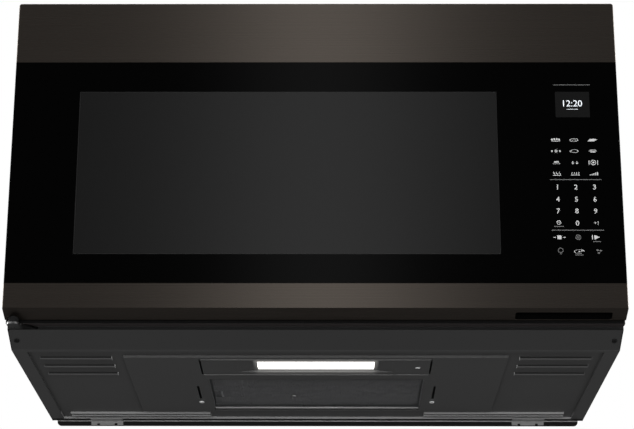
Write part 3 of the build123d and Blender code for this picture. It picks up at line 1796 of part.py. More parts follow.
nodes = {
    "wrapper": make_wrapper(),
    "back_panel": make_back_panel(),
    "front_frame": make_front_frame(),
    "base_pan": make_base_pan(),
    "screws": make_screws(),
    "wall_plate": make_wall_plate(),
    "support_tabs": make_support_tabs(),
    "cavity": make_cavity(),
    "waveguide": make_waveguide(),
    "waveguide_cover": make_waveguide_cover(),
    "magnetron_yoke": make_magnetron_yoke(),
    "magnetron_core": make_magnetron_core(),
    "bay_floor": make_bay_floor(),
    "transformer_core": make_transformer_core(),
    "transformer_coils": make_transformer_coils(),
    "capacitor": make_capacitor(),
    "fan_shroud": make_fan_shroud(),
    "fan_motor": make_fan_motor(),
    "fan_wheel": make_fan_wheel(),
    "blower_housing": make_blower_housing(),
    "blower_motor": make_blower_motor(),
    "blower_shaft": make_blower_shaft(),
    "blower_wheel_left": make_blower_wheel(-1),
    "blower_wheel_right": make_blower_wheel(1),
    "top_grille": make_top_grille(),
    "charcoal_filter": make_charcoal_filter(),
    "exhaust_cover": make_exhaust_cover(),
    "cord_bushing": make_cord_bushing(),
    "bolt_plates": make_bolt_plates(),
    "power_board": make_power_board(),
    "interlock_bracket": make_interlock_bracket(),
    "interlock_switches": make_interlock_switches(),
    "thermal_cutouts": make_thermal_cutouts(),
    "cavity_lamp": make_cavity_lamp(),
    "lamp_cover": make_lamp_cover(),
    "lamp_lens": make_lamp_lens(),
    "filter_frame": make_filter_frame(),
    "filter_mesh": make_filter_mesh(),
    "filter_pull": make_filter_pull(),
    "turntable_motor": make_turntable_motor(),
    "coupler": make_coupler(),
    "turntable_tray": make_tray(),
    "roller_ring": make_roller_ring(),
    "door_carrier": make_door_carrier(),
    "door_glass": make_door_glass(),
    "door_top_trim": make_door_top_trim(),
    "door_bottom_trim": make_door_bottom_trim(),
    "door_grip": make_door_grip(),
    "choke_panel": make_choke_panel(),
    "choke_cover": make_choke_cover(),
    "inner_glass": make_inner_glass(),
    "display_board": make_display_board(),
    "touch_holder": make_touch_holder(),
    "upper_hinge": make_upper_hinge(),
    "lower_hinge": make_lower_hinge(),
    "door_bushes": make_door_bushes(),
    "latch_bar": make_latch_bar(),
}
for number, angle in enumerate(roller_angles(), start=1):
    nodes[f"roller_{number}"] = make_roller(angle)

os.makedirs("parts", exist_ok=True)
for name, solid in nodes.items():
    export_step(solid, f"parts/{name}.step")
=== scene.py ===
# %% [markdown]
# An over the range microwave hangs under a wall cabinet, so most people see it the way this
# scene does: from the front and a little from below. The CAD model already holds every hard
# piece at its real size. Blender adds what the eye reads: brushed steel, black glass, printed
# keys, a lit lamp and a grease filter of expanded metal.
#
# The imported model comes in first.

# %% load the frame
import bmesh
import bpy
import math
from mathutils import Matrix, Vector


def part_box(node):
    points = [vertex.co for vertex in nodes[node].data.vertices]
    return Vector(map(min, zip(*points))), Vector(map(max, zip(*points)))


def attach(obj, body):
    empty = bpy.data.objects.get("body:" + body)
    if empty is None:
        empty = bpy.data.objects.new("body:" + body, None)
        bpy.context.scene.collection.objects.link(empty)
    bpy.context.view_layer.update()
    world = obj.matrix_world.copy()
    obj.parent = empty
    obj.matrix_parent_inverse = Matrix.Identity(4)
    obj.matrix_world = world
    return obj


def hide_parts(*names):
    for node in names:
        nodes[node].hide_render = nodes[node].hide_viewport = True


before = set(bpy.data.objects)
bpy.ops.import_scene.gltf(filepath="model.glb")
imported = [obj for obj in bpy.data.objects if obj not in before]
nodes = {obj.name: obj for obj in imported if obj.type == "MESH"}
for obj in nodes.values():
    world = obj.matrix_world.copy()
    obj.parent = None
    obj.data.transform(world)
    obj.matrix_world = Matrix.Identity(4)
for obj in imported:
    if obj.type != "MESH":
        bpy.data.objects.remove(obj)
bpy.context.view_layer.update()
MM = 0.001

# %% [markdown]
# Materials, the world and Geometry Nodes are all trees of nodes, so the same few helpers can
# build each of them. One adds a node, one feeds a socket with a value or with another node's
# output, and one does both at once. Sums and ranges are what the recipes need most, so they
# get helpers of their own.

# %% helpers for trees of nodes
def add(owner, kind, **settings):
    """A new node in a material or a world, or in a tree that stands by itself."""
    node = getattr(owner, "node_tree", owner).nodes.new(kind)
    for key, value in settings.items():
        setattr(node, key, value)
    return node


def feed(owner, socket, value):
    """Link the socket if the value is another node's output, and set it if not."""
    if isinstance(value, bpy.types.NodeSocket):
        getattr(owner, "node_tree", owner).links.new(value, socket)
    else:
        socket.default_value = value


def wired(owner, kind, inputs, **settings):
    """The first output of a new node, whose inputs are fed by name or by number."""
    node = add(owner, kind, **settings)
    for key, value in inputs.items():
        feed(owner, node.inputs[key], value)
    return node.outputs[0]


def calc(owner, kind, *values):
    return wired(owner, "ShaderNodeMath", dict(enumerate(values)), operation=kind)


def product(owner, *factors):
    total = factors[0]
    for factor in factors[1:]:
        total = calc(owner, "MULTIPLY", total, factor)
    return total


def remap(owner, value, low, high, out_low, out_high):
    """Low to high becomes out_low to out_high, and nothing passes these ends."""
    inputs = dict(enumerate((value, low, high, out_low, out_high)))
    return wired(owner, "ShaderNodeMapRange", inputs)


def inside(owner, value, low, high, soft):
    """1 between low and high, 0 outside, with borders 2 * soft wide."""
    return product(owner, remap(owner, value, low - soft, low + soft, 0.0, 1.0),
                   remap(owner, value, high - soft, high + soft, 1.0, 0.0))


def axis_of(owner, name, vector=None):
    """One axis of a vector, or of the place in Object coordinates if none is given."""
    split = add(owner, "ShaderNodeSeparateXYZ")
    place = vector or add(owner, "ShaderNodeTexCoord").outputs["Object"]
    feed(owner, split.inputs[0], place)
    return split.outputs[name]


# %% [markdown]
# Every finish is the Principled shader with a few sockets set. No real surface is quite even,
# so noise varies its tone and roughness a little, and a shallow bump gives it grain. No real
# edge is quite sharp either, so the bump lies over edges that are rounded.

# %% helpers for the shader
def grey(level):
    return (level, level, level)


def shader_of(material):
    return material.node_tree.nodes["Principled BSDF"]


def set_input(material, name, value):
    feed(material, shader_of(material).inputs[name], value)


def new_material(name, color, roughness, metallic=0.0, **sockets):
    material = bpy.data.materials.new(name)
    material.use_nodes = True
    set_input(material, "Base Color", (*color, 1))
    set_input(material, "Roughness", roughness)
    set_input(material, "Metallic", metallic)
    for socket, value in sockets.items():
        set_input(material, socket.replace("_", " "), value)
    return material


def blend_color(material, factor, first, second):
    """Mix of two colours, each given as a value or as another node's output."""
    node = add(material, "ShaderNodeMix", data_type="RGBA")
    for number, value in ((0, factor), (6, first), (7, second)):
        feed(material, node.inputs[number], (*value, 1) if isinstance(value, tuple) else value)
    return node.outputs[2]


# %% [markdown]
# Noise is measured in repeats per metre on Object coordinates, so a grain keeps its real size
# on every piece. Where one sheet has several tones, a mask made from the place on the part
# says where each of them goes.

# %% helpers for noise, tones and bump
NOISE_ROUGHNESS = 0.6
NOISE_RANGE = (0.3, 0.7)


def noise_on(material, scale, detail=4.0, place=None):
    """Noise with scale repeats per metre: one number, or one for each axis."""
    place = place or add(material, "ShaderNodeTexCoord").outputs["Object"]
    scale = scale if isinstance(scale, tuple) else (scale, scale, scale)
    vector = wired(material, "ShaderNodeMapping", {"Vector": place, "Scale": scale})
    return wired(material, "ShaderNodeTexNoise", {
        "Vector": vector, "Scale": 1.0, "Detail": detail, "Roughness": NOISE_ROUGHNESS})


def vary_tone(material, factor, color, share, socket="Base Color"):
    """The colour where the factor is 1, and that share of its light where it is 0."""
    darker = tuple(share * c for c in color)
    set_input(material, socket, blend_color(material, factor, darker, color))


def vary_roughness(material, noise, middle, reach):
    spread = remap(material, noise, *NOISE_RANGE, middle - reach, middle + reach)
    set_input(material, "Roughness", spread)


def tone_where(material, mask, color):
    """Turn the base colour, which a node already feeds, into another one in a mask."""
    base = shader_of(material).inputs["Base Color"]
    feed(material, base, blend_color(material, mask, base.links[0].from_socket, color))


def rounded_normal(material, radius):
    return wired(material, "ShaderNodeBevel", {"Radius": radius}, samples=4)


def soft_bump(material, height, distance, edge):
    """Bump from a height, laid over edges with that radius."""
    set_input(material, "Normal", wired(material, "ShaderNodeBump", {
        "Distance": distance, "Strength": 1.0, "Height": height,
        "Normal": rounded_normal(material, edge)}))


# %% [markdown]
# The door's bands are dark stainless steel, brushed along the width. Brushing is thousands of
# fine scratches, so the noise is stretched almost to lines: a few repeats per metre along X
# and thousands across it. The lines change the roughness and the tone a little and cut a
# shallow bump. On the end caps, which face along X, depth is left out of the noise, so that
# the scratches run front to back there.
#
# Each finish is made once and shared by every node that has it. Only the material slots of
# the CAD objects change; their meshes stay as they are.

# %% brushed steel
STEEL_COLOR = (0.26, 0.224, 0.194)
STEEL_TONES = ((0.245, 0.211, 0.183), (0.275, 0.237, 0.205))
SCRATCHES_PER_METRE = (2.5, 2600.0, 2600.0)
SCRATCH_DEPTH = 0.004 * MM
STEEL_EDGE = 0.6 * MM
END_FACING = (0.5, 0.9)
dressed = set()


def dress(material, *names):
    for name in names:
        for slot in nodes[name].material_slots:
            slot.material = material
    dressed.update(names)
    print(material.name, "on:", *names)
    return material


def place_without_depth_on_ends(material):
    normal = add(material, "ShaderNodeNewGeometry").outputs["Normal"]
    sideways = calc(material, "ABSOLUTE", axis_of(material, "X", normal))
    depth = remap(material, sideways, *END_FACING, 1.0, 0.0)
    share = wired(material, "ShaderNodeCombineXYZ", {"X": 1.0, "Y": depth, "Z": 1.0})
    place = add(material, "ShaderNodeTexCoord").outputs["Object"]
    return wired(material, "ShaderNodeVectorMath", {0: place, 1: share}, operation="MULTIPLY")


def brushed_steel():
    material = new_material("brushed_dark_steel", STEEL_COLOR, 0.28, 1.0,
                            Anisotropic=1.0, Anisotropic_Rotation=0.25)
    place = place_without_depth_on_ends(material)
    lines = noise_on(material, SCRATCHES_PER_METRE, detail=3.0, place=place)
    tone = remap(material, lines, *NOISE_RANGE, 0.0, 1.0)
    set_input(material, "Base Color", blend_color(material, tone, *STEEL_TONES))
    vary_roughness(material, lines, 0.28, 0.02)
    set_input(material, "Tangent",
              wired(material, "ShaderNodeTangent", {}, direction_type="RADIAL", axis="Z"))
    soft_bump(material, lines, SCRATCH_DEPTH, STEEL_EDGE)
    return material


dress(brushed_steel(), "door_top_trim", "door_bottom_trim")

# %% [markdown]
# The case and its underside are painted sheet steel. Such paint is satin, with a very fine
# orange peel, so one recipe with another grey does for each painted sheet.

# %% painted sheet
PEEL_DEPTH = 0.02 * MM


def satin_paint(name, color, roughness=0.45, shine=0.15, edge=0.5 * MM):
    material = new_material(name, color, roughness, Specular_IOR_Level=shine)
    grain = noise_on(material, 900.0, detail=2.0)
    vary_roughness(material, grain, roughness, 0.05)
    vary_tone(material, noise_on(material, 9.0, detail=2.0), color, 0.90)
    soft_bump(material, grain, PEEL_DEPTH, edge)
    return material


case_paint = dress(satin_paint("case_paint", grey(0.022)), "wrapper", "exhaust_cover", "cord_bushing")
dress(satin_paint("wall_plate_paint", grey(0.011), 0.5, shine=0.1), "wall_plate")

# %% [markdown]
# The underside is a little greyer, and its bent front apron below the door is painted darker, a
# painted shade. Its pressed edges are softly rounded, which is why each one shows as a light line; at
# the rear the steep walls of the pressings are also painted lighter, a painted highlight, and a strip
# along the rear border is painted near black, a painted shadow. The louvres near the front corners are
# low hoods, pressed down from the sheet. Seen from below, each is a thin line with a light inner end,
# so its face gets a painted shade and its lip and end a painted highlight.

# %% paint of the underside
PAN_GREY = 0.080
PRESSED_EDGE = 0.9 * MM
APRON_END = -384.5 * MM
APRON_PAINTED_SHADE = 0.041
REAR_BORDER = -15 * MM
BORDER_PAINTED_SHADOW = 0.015
REAR_PRESSING = -50 * MM
WALL_SLOPE = (0.35, 0.85)
WALL_PAINTED_HIGHLIGHT = 0.24
LOUVRE_X = (257 * MM, 349 * MM)
LOUVRE_Y = (-347 * MM, -258 * MM)
LOUVRE_FACE_Z = (1.3 * MM, 3.15 * MM)
LOUVRE_LIP_Z = (0.45 * MM, 1.3 * MM)
LOUVRE_END = 1.6 * MM
LOUVRE_FACE_PAINTED_SHADE = 0.018
LOUVRE_LIP_PAINTED_HIGHLIGHT = 0.10
LOUVRE_END_PAINTED_HIGHLIGHT = 0.40


# Painted light and shade: each louvre's face is painted darker, and its lip and inner end lighter, as
# a highlight.
def tone_louvres(material, depth):
    aside = calc(material, "ABSOLUTE", axis_of(material, "X"))
    height = axis_of(material, "Z")
    rows = inside(material, depth, *LOUVRE_Y, MM / 2)
    louvres = product(material, rows, inside(material, aside, *LOUVRE_X, MM / 4))
    for span, tone in ((LOUVRE_FACE_Z, LOUVRE_FACE_PAINTED_SHADE), (LOUVRE_LIP_Z, LOUVRE_LIP_PAINTED_HIGHLIGHT)):
        band = inside(material, height, *span, MM / 20)
        tone_where(material, product(material, louvres, band), grey(tone))
    inner = inside(material, aside, LOUVRE_X[0] - MM, LOUVRE_X[0] + LOUVRE_END, MM / 8)
    hanging = inside(material, height, -MM, LOUVRE_FACE_Z[1], MM / 20)
    tone_where(material, product(material, rows, inner, hanging), grey(LOUVRE_END_PAINTED_HIGHLIGHT))


def underside_paint():
    material = satin_paint("underside_paint", grey(PAN_GREY), 0.5, edge=PRESSED_EDGE)
    depth = axis_of(material, "Y")
    # Painted shade: the bent front apron is painted darker than the rest of the underside.
    apron = remap(material, depth, APRON_END - MM, APRON_END + MM, 1.0, 0.0)
    tone_where(material, apron, grey(APRON_PAINTED_SHADE))
    # Painted shadow: a near-black strip along the rear border, by the gap to the back panel.
    border = remap(material, depth, REAR_BORDER - MM / 2, REAR_BORDER + MM / 2, 0.0, 1.0)
    tone_where(material, border, grey(BORDER_PAINTED_SHADOW))
    # Painted highlight: the steep walls of the pressings at the rear are painted lighter, where they
    # face the front light.
    slope = axis_of(material, "Z", rounded_normal(material, PRESSED_EDGE))
    steep = remap(material, calc(material, "ABSOLUTE", slope), *WALL_SLOPE, 1.0, 0.0)
    behind = remap(material, depth, REAR_PRESSING - MM, REAR_PRESSING, 0.0, 1.0)
    tone_where(material, product(material, steep, behind), grey(WALL_PAINTED_HIGHLIGHT))
    tone_louvres(material, depth)
    return material


dress(underside_paint(), "base_pan")

# %% [markdown]
# The lamp cover has the same paint, and close round the lens a painted glow stands in for the lens's
# light spilling onto it: the cover emits light though it is no lamp. How far a point lies outside the
# lens's rectangle sets that painted glow, which is stronger towards the front.

# %% paint of the lamp cover
LENS_HALF_WIDTH = 75 * MM
LENS_FRONT = -327 * MM
LENS_BACK = -276.5 * MM
PAINTED_GLOW_REACH_X = 6 * MM
PAINTED_GLOW_REACH_Y = 16 * MM
PAINTED_SPILL_FRONT = 0.22
PAINTED_SPILL_BACK = 0.05
PAINTED_SPILL_COLOR = (1.0, 0.98, 0.93, 1)


def lamp_cover_paint():
    material = satin_paint("lamp_cover_paint", grey(PAN_GREY), 0.5, edge=PRESSED_EDGE)
    across = calc(material, "ABSOLUTE", axis_of(material, "X"))
    depth = axis_of(material, "Y")
    beside = remap(material, across, LENS_HALF_WIDTH, LENS_HALF_WIDTH + PAINTED_GLOW_REACH_X, 1.0, 0.0)
    ahead = remap(material, depth, LENS_FRONT, LENS_FRONT - PAINTED_GLOW_REACH_Y, 1.0, 0.0)
    behind = remap(material, depth, LENS_BACK, LENS_BACK + PAINTED_GLOW_REACH_Y, 1.0, 0.0)
    painted_spill = remap(material, depth, LENS_FRONT, LENS_BACK, PAINTED_SPILL_FRONT, PAINTED_SPILL_BACK)
    # Painted light: the cover glows round the lens, though it is no lamp.
    set_input(material, "Emission Color", PAINTED_SPILL_COLOR)
    set_input(material, "Emission Strength", product(material, beside, ahead, behind, painted_spill))
    return material


dress(lamp_cover_paint(), "lamp_cover")

# %% [markdown]
# The front glass is one sheet, printed black on its back. Over the oven the print leaves a
# window, and the fine upright wires of the screen behind it show as a slightly lighter field.
# Object coordinates say where the window is, so one material does both.

# %% black glass with a window
WINDOW_X = (-296.6 * MM, 227.1 * MM)
WINDOW_Z = (100.5 * MM, 314.8 * MM)
WINDOW_BORDER = 0.4 * MM
WIRE_PITCH = 2.2 * MM
GLASS_ROUGHNESS = 0.06
WINDOW_ROUGHNESS = 0.20
GLASS_BLACK = grey(0.0004)
WIRE_TONES = (grey(0.066), grey(0.086))


def in_window(material, soft):
    return product(material, inside(material, axis_of(material, "X"), *WINDOW_X, soft),
                   inside(material, axis_of(material, "Z"), *WINDOW_Z, soft))


def front_glass():
    material = new_material("black_front_glass", GLASS_BLACK, GLASS_ROUGHNESS,
                            Specular_IOR_Level=0.12)
    window = in_window(material, WINDOW_BORDER)
    wires = calc(material, "PINGPONG", axis_of(material, "X"), WIRE_PITCH / 2)
    tone = remap(material, wires, 0.0, WIRE_PITCH / 2, 0.0, 1.0)
    screen = blend_color(material, tone, *WIRE_TONES)
    set_input(material, "Base Color", blend_color(material, window, GLASS_BLACK, screen))
    set_input(material, "Metallic", window)
    set_input(material, "Roughness",
              remap(material, window, 0.0, 1.0, GLASS_ROUGHNESS, WINDOW_ROUGHNESS))
    return material


dress(front_glass(), "door_glass")

# %% [markdown]
# Moulded plastic has a fine grain, and the thick paint of the front frame can share its recipe. The
# frame and the door's carrier are dark all round, but the narrow strips of them that show under the
# door have tones of their own, which the height and the depth pick out: the frame's face below the
# door is darker, a painted shade, the carrier's wall in the groove under the trim is near black, a
# painted shadow, and the carrier's underside is lighter and browner.

# %% moulded plastic
MOULDED_EDGE = 0.4 * MM
FRAME_BOTTOM = 19.4 * MM
FRAME_BOTTOM_PAINTED_SHADE = 0.008
CARRIER_BOTTOM = 19.7 * MM
CARRIER_BROWN = (0.036, 0.030, 0.030)
GROOVE_TOP = 28.0 * MM
GROOVE_FRONT = -435.5 * MM
GROOVE_PAINTED_SHADOW = 0.0015


def moulded(name, color, roughness=0.5, grain=0.04 * MM, shine=0.35):
    material = new_material(name, color, roughness, Specular_IOR_Level=shine)
    soft_bump(material, noise_on(material, 700.0, detail=3.0), grain, MOULDED_EDGE)
    vary_tone(material, noise_on(material, 15.0, detail=2.0), color, 0.85)
    return material


def tone_below(material, top, color):
    under = remap(material, axis_of(material, "Z"), top - MM / 10, top + MM / 10, 1.0, 0.0)
    tone_where(material, under, color)
    return material


def carrier_plastic():
    material = moulded("carrier_plastic", grey(0.016))
    height, depth = axis_of(material, "Z"), axis_of(material, "Y")
    low = remap(material, height, GROOVE_TOP - MM / 2, GROOVE_TOP + MM / 2, 1.0, 0.0)
    ahead = remap(material, depth, GROOVE_FRONT - MM / 4, GROOVE_FRONT + MM / 4, 1.0, 0.0)
    # Painted shadow: the carrier's wall in the groove under the trim is near black.
    tone_where(material, product(material, low, ahead), grey(GROOVE_PAINTED_SHADOW))
    return tone_below(material, CARRIER_BOTTOM, CARRIER_BROWN)


frame_paint = moulded("frame_paint", grey(0.030))
# Painted shade: the frame's face below the door is darker.
dress(tone_below(frame_paint, FRAME_BOTTOM, grey(FRAME_BOTTOM_PAINTED_SHADE)), "front_frame")
dress(carrier_plastic(), "door_carrier")
dress(moulded("grip_plastic", grey(0.0012), 0.8, shine=0.05), "door_grip")
# Painted shade: the bushes are darker than the other black plastic, so that they read as shade under
# the door's corner.
dress(moulded("bush_plastic", grey(0.010), 0.8), "door_bushes")
dress(moulded("black_plastic", grey(0.016)), "choke_cover", "top_grille", "latch_bar",
      "touch_holder", "interlock_bracket", "interlock_switches", "fan_shroud", "fan_wheel")
dress(moulded("natural_plastic", (0.62, 0.60, 0.54)), "blower_wheel_left", "blower_wheel_right",
      "coupler", "roller_ring", "roller_1", "roller_2", "roller_3")
dress(moulded("mica_sheet", (0.50, 0.45, 0.33), 0.6), "waveguide_cover")
dress(moulded("circuit_board", (0.02, 0.12, 0.05), 0.4), "power_board", "display_board")
dress(moulded("charcoal_pad", grey(0.012), 0.95, grain=0.6 * MM), "charcoal_filter")

# %% [markdown]
# Zinc-coated sheet has a cloudy spangle, and ground steel, wire and laminations can share its recipe
# in other colours. Two pieces need a mask as well: the screws near the underside's corners are black,
# and the lower hinge is bright at its pivot but dark along its gusset, a painted shadow where the
# door's corner shades it.

# %% plated and bare metal
SPANGLE_DEPTH = 0.02 * MM
METAL_EDGE = 0.3 * MM
CORNER_SCREWS_X = (300 * MM, 310 * MM)
HINGE_SHADOW_X = (-364 * MM, -359 * MM)


def plated(name, color, roughness=0.35, metallic=1.0):
    material = new_material(name, color, roughness, metallic)
    spangle = noise_on(material, 240.0, detail=1.0)
    vary_tone(material, spangle, color, 0.82)
    vary_roughness(material, spangle, roughness, 0.08)
    soft_bump(material, spangle, SPANGLE_DEPTH, METAL_EDGE)
    return material


def two_screw_finishes():
    """Bright zinc for the screws near the middle, black for the pair near the corners."""
    material = plated("screw_steel", grey(0.75), 0.4, 0.2)
    across = calc(material, "ABSOLUTE", axis_of(material, "X"))
    tone_where(material, remap(material, across, *CORNER_SCREWS_X, 0.0, 1.0), grey(0.012))
    return material


def hinge_zinc():
    material = plated("hinge_zinc", grey(0.42))
    # Painted shadow: the hinge plate is dark beyond its pivot end.
    painted_shadow = remap(material, axis_of(material, "X"), *HINGE_SHADOW_X, 0.0, 1.0)
    tone_where(material, painted_shadow, grey(0.03))
    return material


screw_steel = dress(two_screw_finishes(), "screws")
dress(hinge_zinc(), "lower_hinge")
dress(plated("tab_zinc", grey(0.26), 0.45, 0.2), "support_tabs")
dress(plated("zinc_coated_sheet", (0.56, 0.57, 0.58)), "back_panel", "bay_floor", "waveguide",
      "bolt_plates", "upper_hinge", "magnetron_yoke", "filter_frame", "filter_pull",
      "blower_housing", "capacitor", "cavity_lamp", "filter_mesh")
dress(plated("ground_steel", (0.60, 0.60, 0.60), 0.25), "blower_shaft", "fan_motor",
      "blower_motor", "turntable_motor", "thermal_cutouts")
dress(plated("winding_wire", (0.55, 0.22, 0.09), 0.40), "transformer_coils")
dress(plated("lamination_steel", (0.20, 0.19, 0.19), 0.55), "transformer_core", "magnetron_core")

# %% [markdown]
# The oven and the door's choke panel are enamelled, with a faint dark speckle. The panel also has a
# field of small round holes in front of the oven, painted as near-black dots: painted shade for the
# dark behind the holes. Two waves across the field, squared and added, give the squared distance to
# the nearest hole's middle, so no hole has to be cut.

# %% enamel
HOLE_PITCH = 3.2 * MM
HOLE_SHARE = 0.30
HOLE_SOFT = 0.2
HOLE_PAINTED_SHADE = 0.0008
SPECKLE_RANGE = (0.60, 0.66)
WAVE_DEPTH = 0.1 * MM
ENAMEL_EDGE = 0.5 * MM


def enamel(name, color):
    material = new_material(name, color, 0.28, Coat_Weight=0.3)
    clear = remap(material, noise_on(material, 1500.0, detail=1.0), *SPECKLE_RANGE, 1.0, 0.0)
    vary_tone(material, clear, color, 0.55)
    soft_bump(material, noise_on(material, 30.0), WAVE_DEPTH, ENAMEL_EDGE)
    return material


def perforated_enamel():
    material = enamel("door_enamel", grey(0.020))
    squares = []
    for name in ("X", "Z"):
        wave = calc(material, "PINGPONG", axis_of(material, name), HOLE_PITCH / 2)
        squares.append(calc(material, "MULTIPLY", wave, wave))
    edge = (HOLE_SHARE * HOLE_PITCH) ** 2
    soft = HOLE_SOFT * edge
    hole = remap(material, calc(material, "ADD", *squares), edge - soft, edge + soft, 1.0, 0.0)
    # Painted shade: the holes are near-black dots, not cut.
    tone_where(material, product(material, hole, in_window(material, MM)), grey(HOLE_PAINTED_SHADE))
    return material


dress(enamel("oven_enamel", (0.34, 0.35, 0.34)), "cavity")
dress(perforated_enamel(), "choke_panel")

# %% [markdown]
# The turntable tray is clear glass, and the pane behind the window is a darker one. A faint
# smear in the roughness makes them look like glass that is in use.

# %% clear glass
def clear_glass(name, tint):
    material = new_material(name, tint, 0.03, Transmission_Weight=1.0, IOR=1.45)
    vary_roughness(material, noise_on(material, 12.0), 0.04, 0.02)
    return material


dress(clear_glass("tray_glass", (0.86, 0.92, 0.90)), "turntable_tray")
dress(clear_glass("door_inner_glass", (0.35, 0.36, 0.36)), "inner_glass")

# %% [markdown]
# The cooktop lamp is lit in the picture. Its lens is frosted plastic over a row of lamps, so
# it glows nearly evenly, a little less towards its ends. Its front and back borders lie past
# the lamps and hardly glow.

# %% lamp lens
LENS_TONES = ((1.0, 0.99, 0.95), (0.90, 0.88, 0.83))
LENS_FADE_X = (40 * MM, 76 * MM)
LENS_LEVEL = 6.0
LENS_SHADE = 0.32
LIT_BACK = -284 * MM
LIT_FRONT = -325.5 * MM
LIT_FADE = 3 * MM


def lit_lens():
    material = new_material("lamp_lens_lit", (0.80, 0.80, 0.78), 0.4)
    across = calc(material, "ABSOLUTE", axis_of(material, "X"))
    fade = remap(material, across, *LENS_FADE_X, 0.0, 1.0)
    set_input(material, "Emission Color", blend_color(material, fade, *LENS_TONES))
    depth = axis_of(material, "Y")
    back = remap(material, depth, LIT_BACK, LIT_BACK + LIT_FADE, LENS_LEVEL, LENS_SHADE)
    front = remap(material, depth, LIT_FRONT, LIT_FRONT + LIT_FADE, LENS_SHADE, LENS_LEVEL)
    set_input(material, "Emission Strength", calc(material, "MINIMUM", back, front))
    return material


dress(lit_lens(), "lamp_lens")
print("dressed nodes:", len(dressed), "left:", sorted(set(nodes) - dressed))

# %% [markdown]
# The grease filter is expanded aluminium: sheet that is slit and pulled open into diamonds,
# laid in two rippled layers. One diamond is a kite curve with a thin three-sided section, and
# Geometry Nodes set it on every point of a grid. The ripple comes last, so that the strands
# bend with it. The same tree makes both layers, from different inputs.

# %% expanded metal by Geometry Nodes
LAYER_INPUTS = {"Geometry": "Geometry", "Width": "Float", "Depth": "Float", "Cell Width": "Float",
                "Cell Depth": "Float", "Strand": "Float", "Ripple": "Float",
                "Ripple Scale": "Float", "Seed": "Float", "Centre": "Vector", "Finish": "Material"}


def diamond_strand(tree, given):
    diamond = add(tree, "GeometryNodeCurvePrimitiveQuadrilateral", mode="KITE")
    half_depth = calc(tree, "DIVIDE", given["Cell Depth"], 2.0)
    feed(tree, diamond.inputs["Width"], given["Cell Width"])
    feed(tree, diamond.inputs["Bottom Height"], half_depth)
    feed(tree, diamond.inputs["Top Height"], half_depth)
    section = wired(tree, "GeometryNodeCurvePrimitiveCircle",
                    {"Resolution": 3, "Radius": given["Strand"]})
    return wired(tree, "GeometryNodeCurveToMesh",
                 {"Curve": diamond.outputs["Curve"], "Profile Curve": section})


def ripple_offset(tree, given):
    wander = add(tree, "ShaderNodeTexNoise", noise_dimensions="4D")
    feed(tree, wander.inputs["Scale"], given["Ripple Scale"])
    feed(tree, wander.inputs["W"], given["Seed"])
    around = wired(tree, "ShaderNodeVectorMath", {0: wander.outputs["Color"], 1: grey(0.5)},
                   operation="SUBTRACT")
    sized = wired(tree, "ShaderNodeVectorMath", {0: around, "Scale": given["Ripple"]},
                  operation="SCALE")
    return wired(tree, "ShaderNodeVectorMath", {0: sized, 1: given["Centre"]}, operation="ADD")


def layer_tree():
    tree = bpy.data.node_groups.new("expanded_layer", "GeometryNodeTree")
    for name, kind in LAYER_INPUTS.items():
        tree.interface.new_socket(name, in_out="INPUT", socket_type="NodeSocket" + kind)
    tree.interface.new_socket("Geometry", in_out="OUTPUT", socket_type="NodeSocketGeometry")
    given = add(tree, "NodeGroupInput").outputs
    sizes = {}
    for axis, side in (("X", "Width"), ("Y", "Depth")):
        whole, cell = given[side], given["Cell " + side]
        sizes["Size " + axis] = calc(tree, "SUBTRACT", whole, cell)
        sizes["Vertices " + axis] = calc(tree, "ROUND", calc(tree, "DIVIDE", whole, cell))
    grid = wired(tree, "GeometryNodeMeshGrid", sizes)
    spread = wired(tree, "GeometryNodeInstanceOnPoints",
                   {"Points": grid, "Instance": diamond_strand(tree, given)})
    real = wired(tree, "GeometryNodeRealizeInstances", {"Geometry": spread})
    shift = wired(tree, "GeometryNodeSetPosition",
                  {"Geometry": real, "Offset": ripple_offset(tree, given)})
    finish = wired(tree, "GeometryNodeSetMaterial",
                   {"Geometry": shift, "Material": given["Finish"]})
    feed(tree, add(tree, "NodeGroupOutput").inputs[0], finish)
    return tree


tree = layer_tree()
print("nodes in the tree of a filter layer:", len(tree.nodes))

# %% [markdown]
# A new piece is a plain mesh: the tree runs on an empty mesh, and its result is kept. The
# piece then rides on the body that carries it, so that it moves with that body's joint.

# %% helpers for new pieces
def in_scene(name, data):
    thing = bpy.data.objects.new(name, data)
    bpy.context.scene.collection.objects.link(thing)
    return thing


def plain_mesh(holder):
    """The mesh that an object shows, after which the object itself is gone."""
    graph = bpy.context.evaluated_depsgraph_get()
    mesh = bpy.data.meshes.new_from_object(holder.evaluated_get(graph))
    bpy.data.objects.remove(holder)
    return mesh


def mesh_of(name, bm):
    mesh = bpy.data.meshes.new(name)
    bm.to_mesh(mesh)
    bm.free()
    return mesh


def mesh_from_tree(name, tree, **inputs):
    seed = in_scene(name + "_seed", bpy.data.meshes.new(name + "_seed"))
    modifier = seed.modifiers.new("tree", "NODES")
    modifier.node_group = tree
    for item in tree.interface.items_tree:
        key = item.name.replace(" ", "_")
        if item.in_out == "INPUT" and key in inputs:
            modifier[item.identifier] = inputs[key]
    return plain_mesh(seed)


def piece_from_mesh(name, mesh, body, *materials):
    mesh.name = name
    piece = in_scene(name, mesh)
    for material in materials:
        mesh.materials.append(material)
    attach(piece, body)
    return piece


# %% [markdown]
# The layers fill the space of the plain CAD mesh, which they stand for. The upper layer is
# shifted by half a cell, so that no straight hole is left for the fat to pass through.

# %% grease filter
FILTER_WIDTH = 280 * MM
FILTER_DEPTH = 160 * MM
CELL_WIDTH = 3.5 * MM
CELL_DEPTH = 6.5 * MM
STRAND = 0.42 * MM
RIPPLE = 3.0 * MM
RIPPLES_PER_METRE = 45.0
LAYER_HEIGHTS = (4.8 * MM, 6.8 * MM)

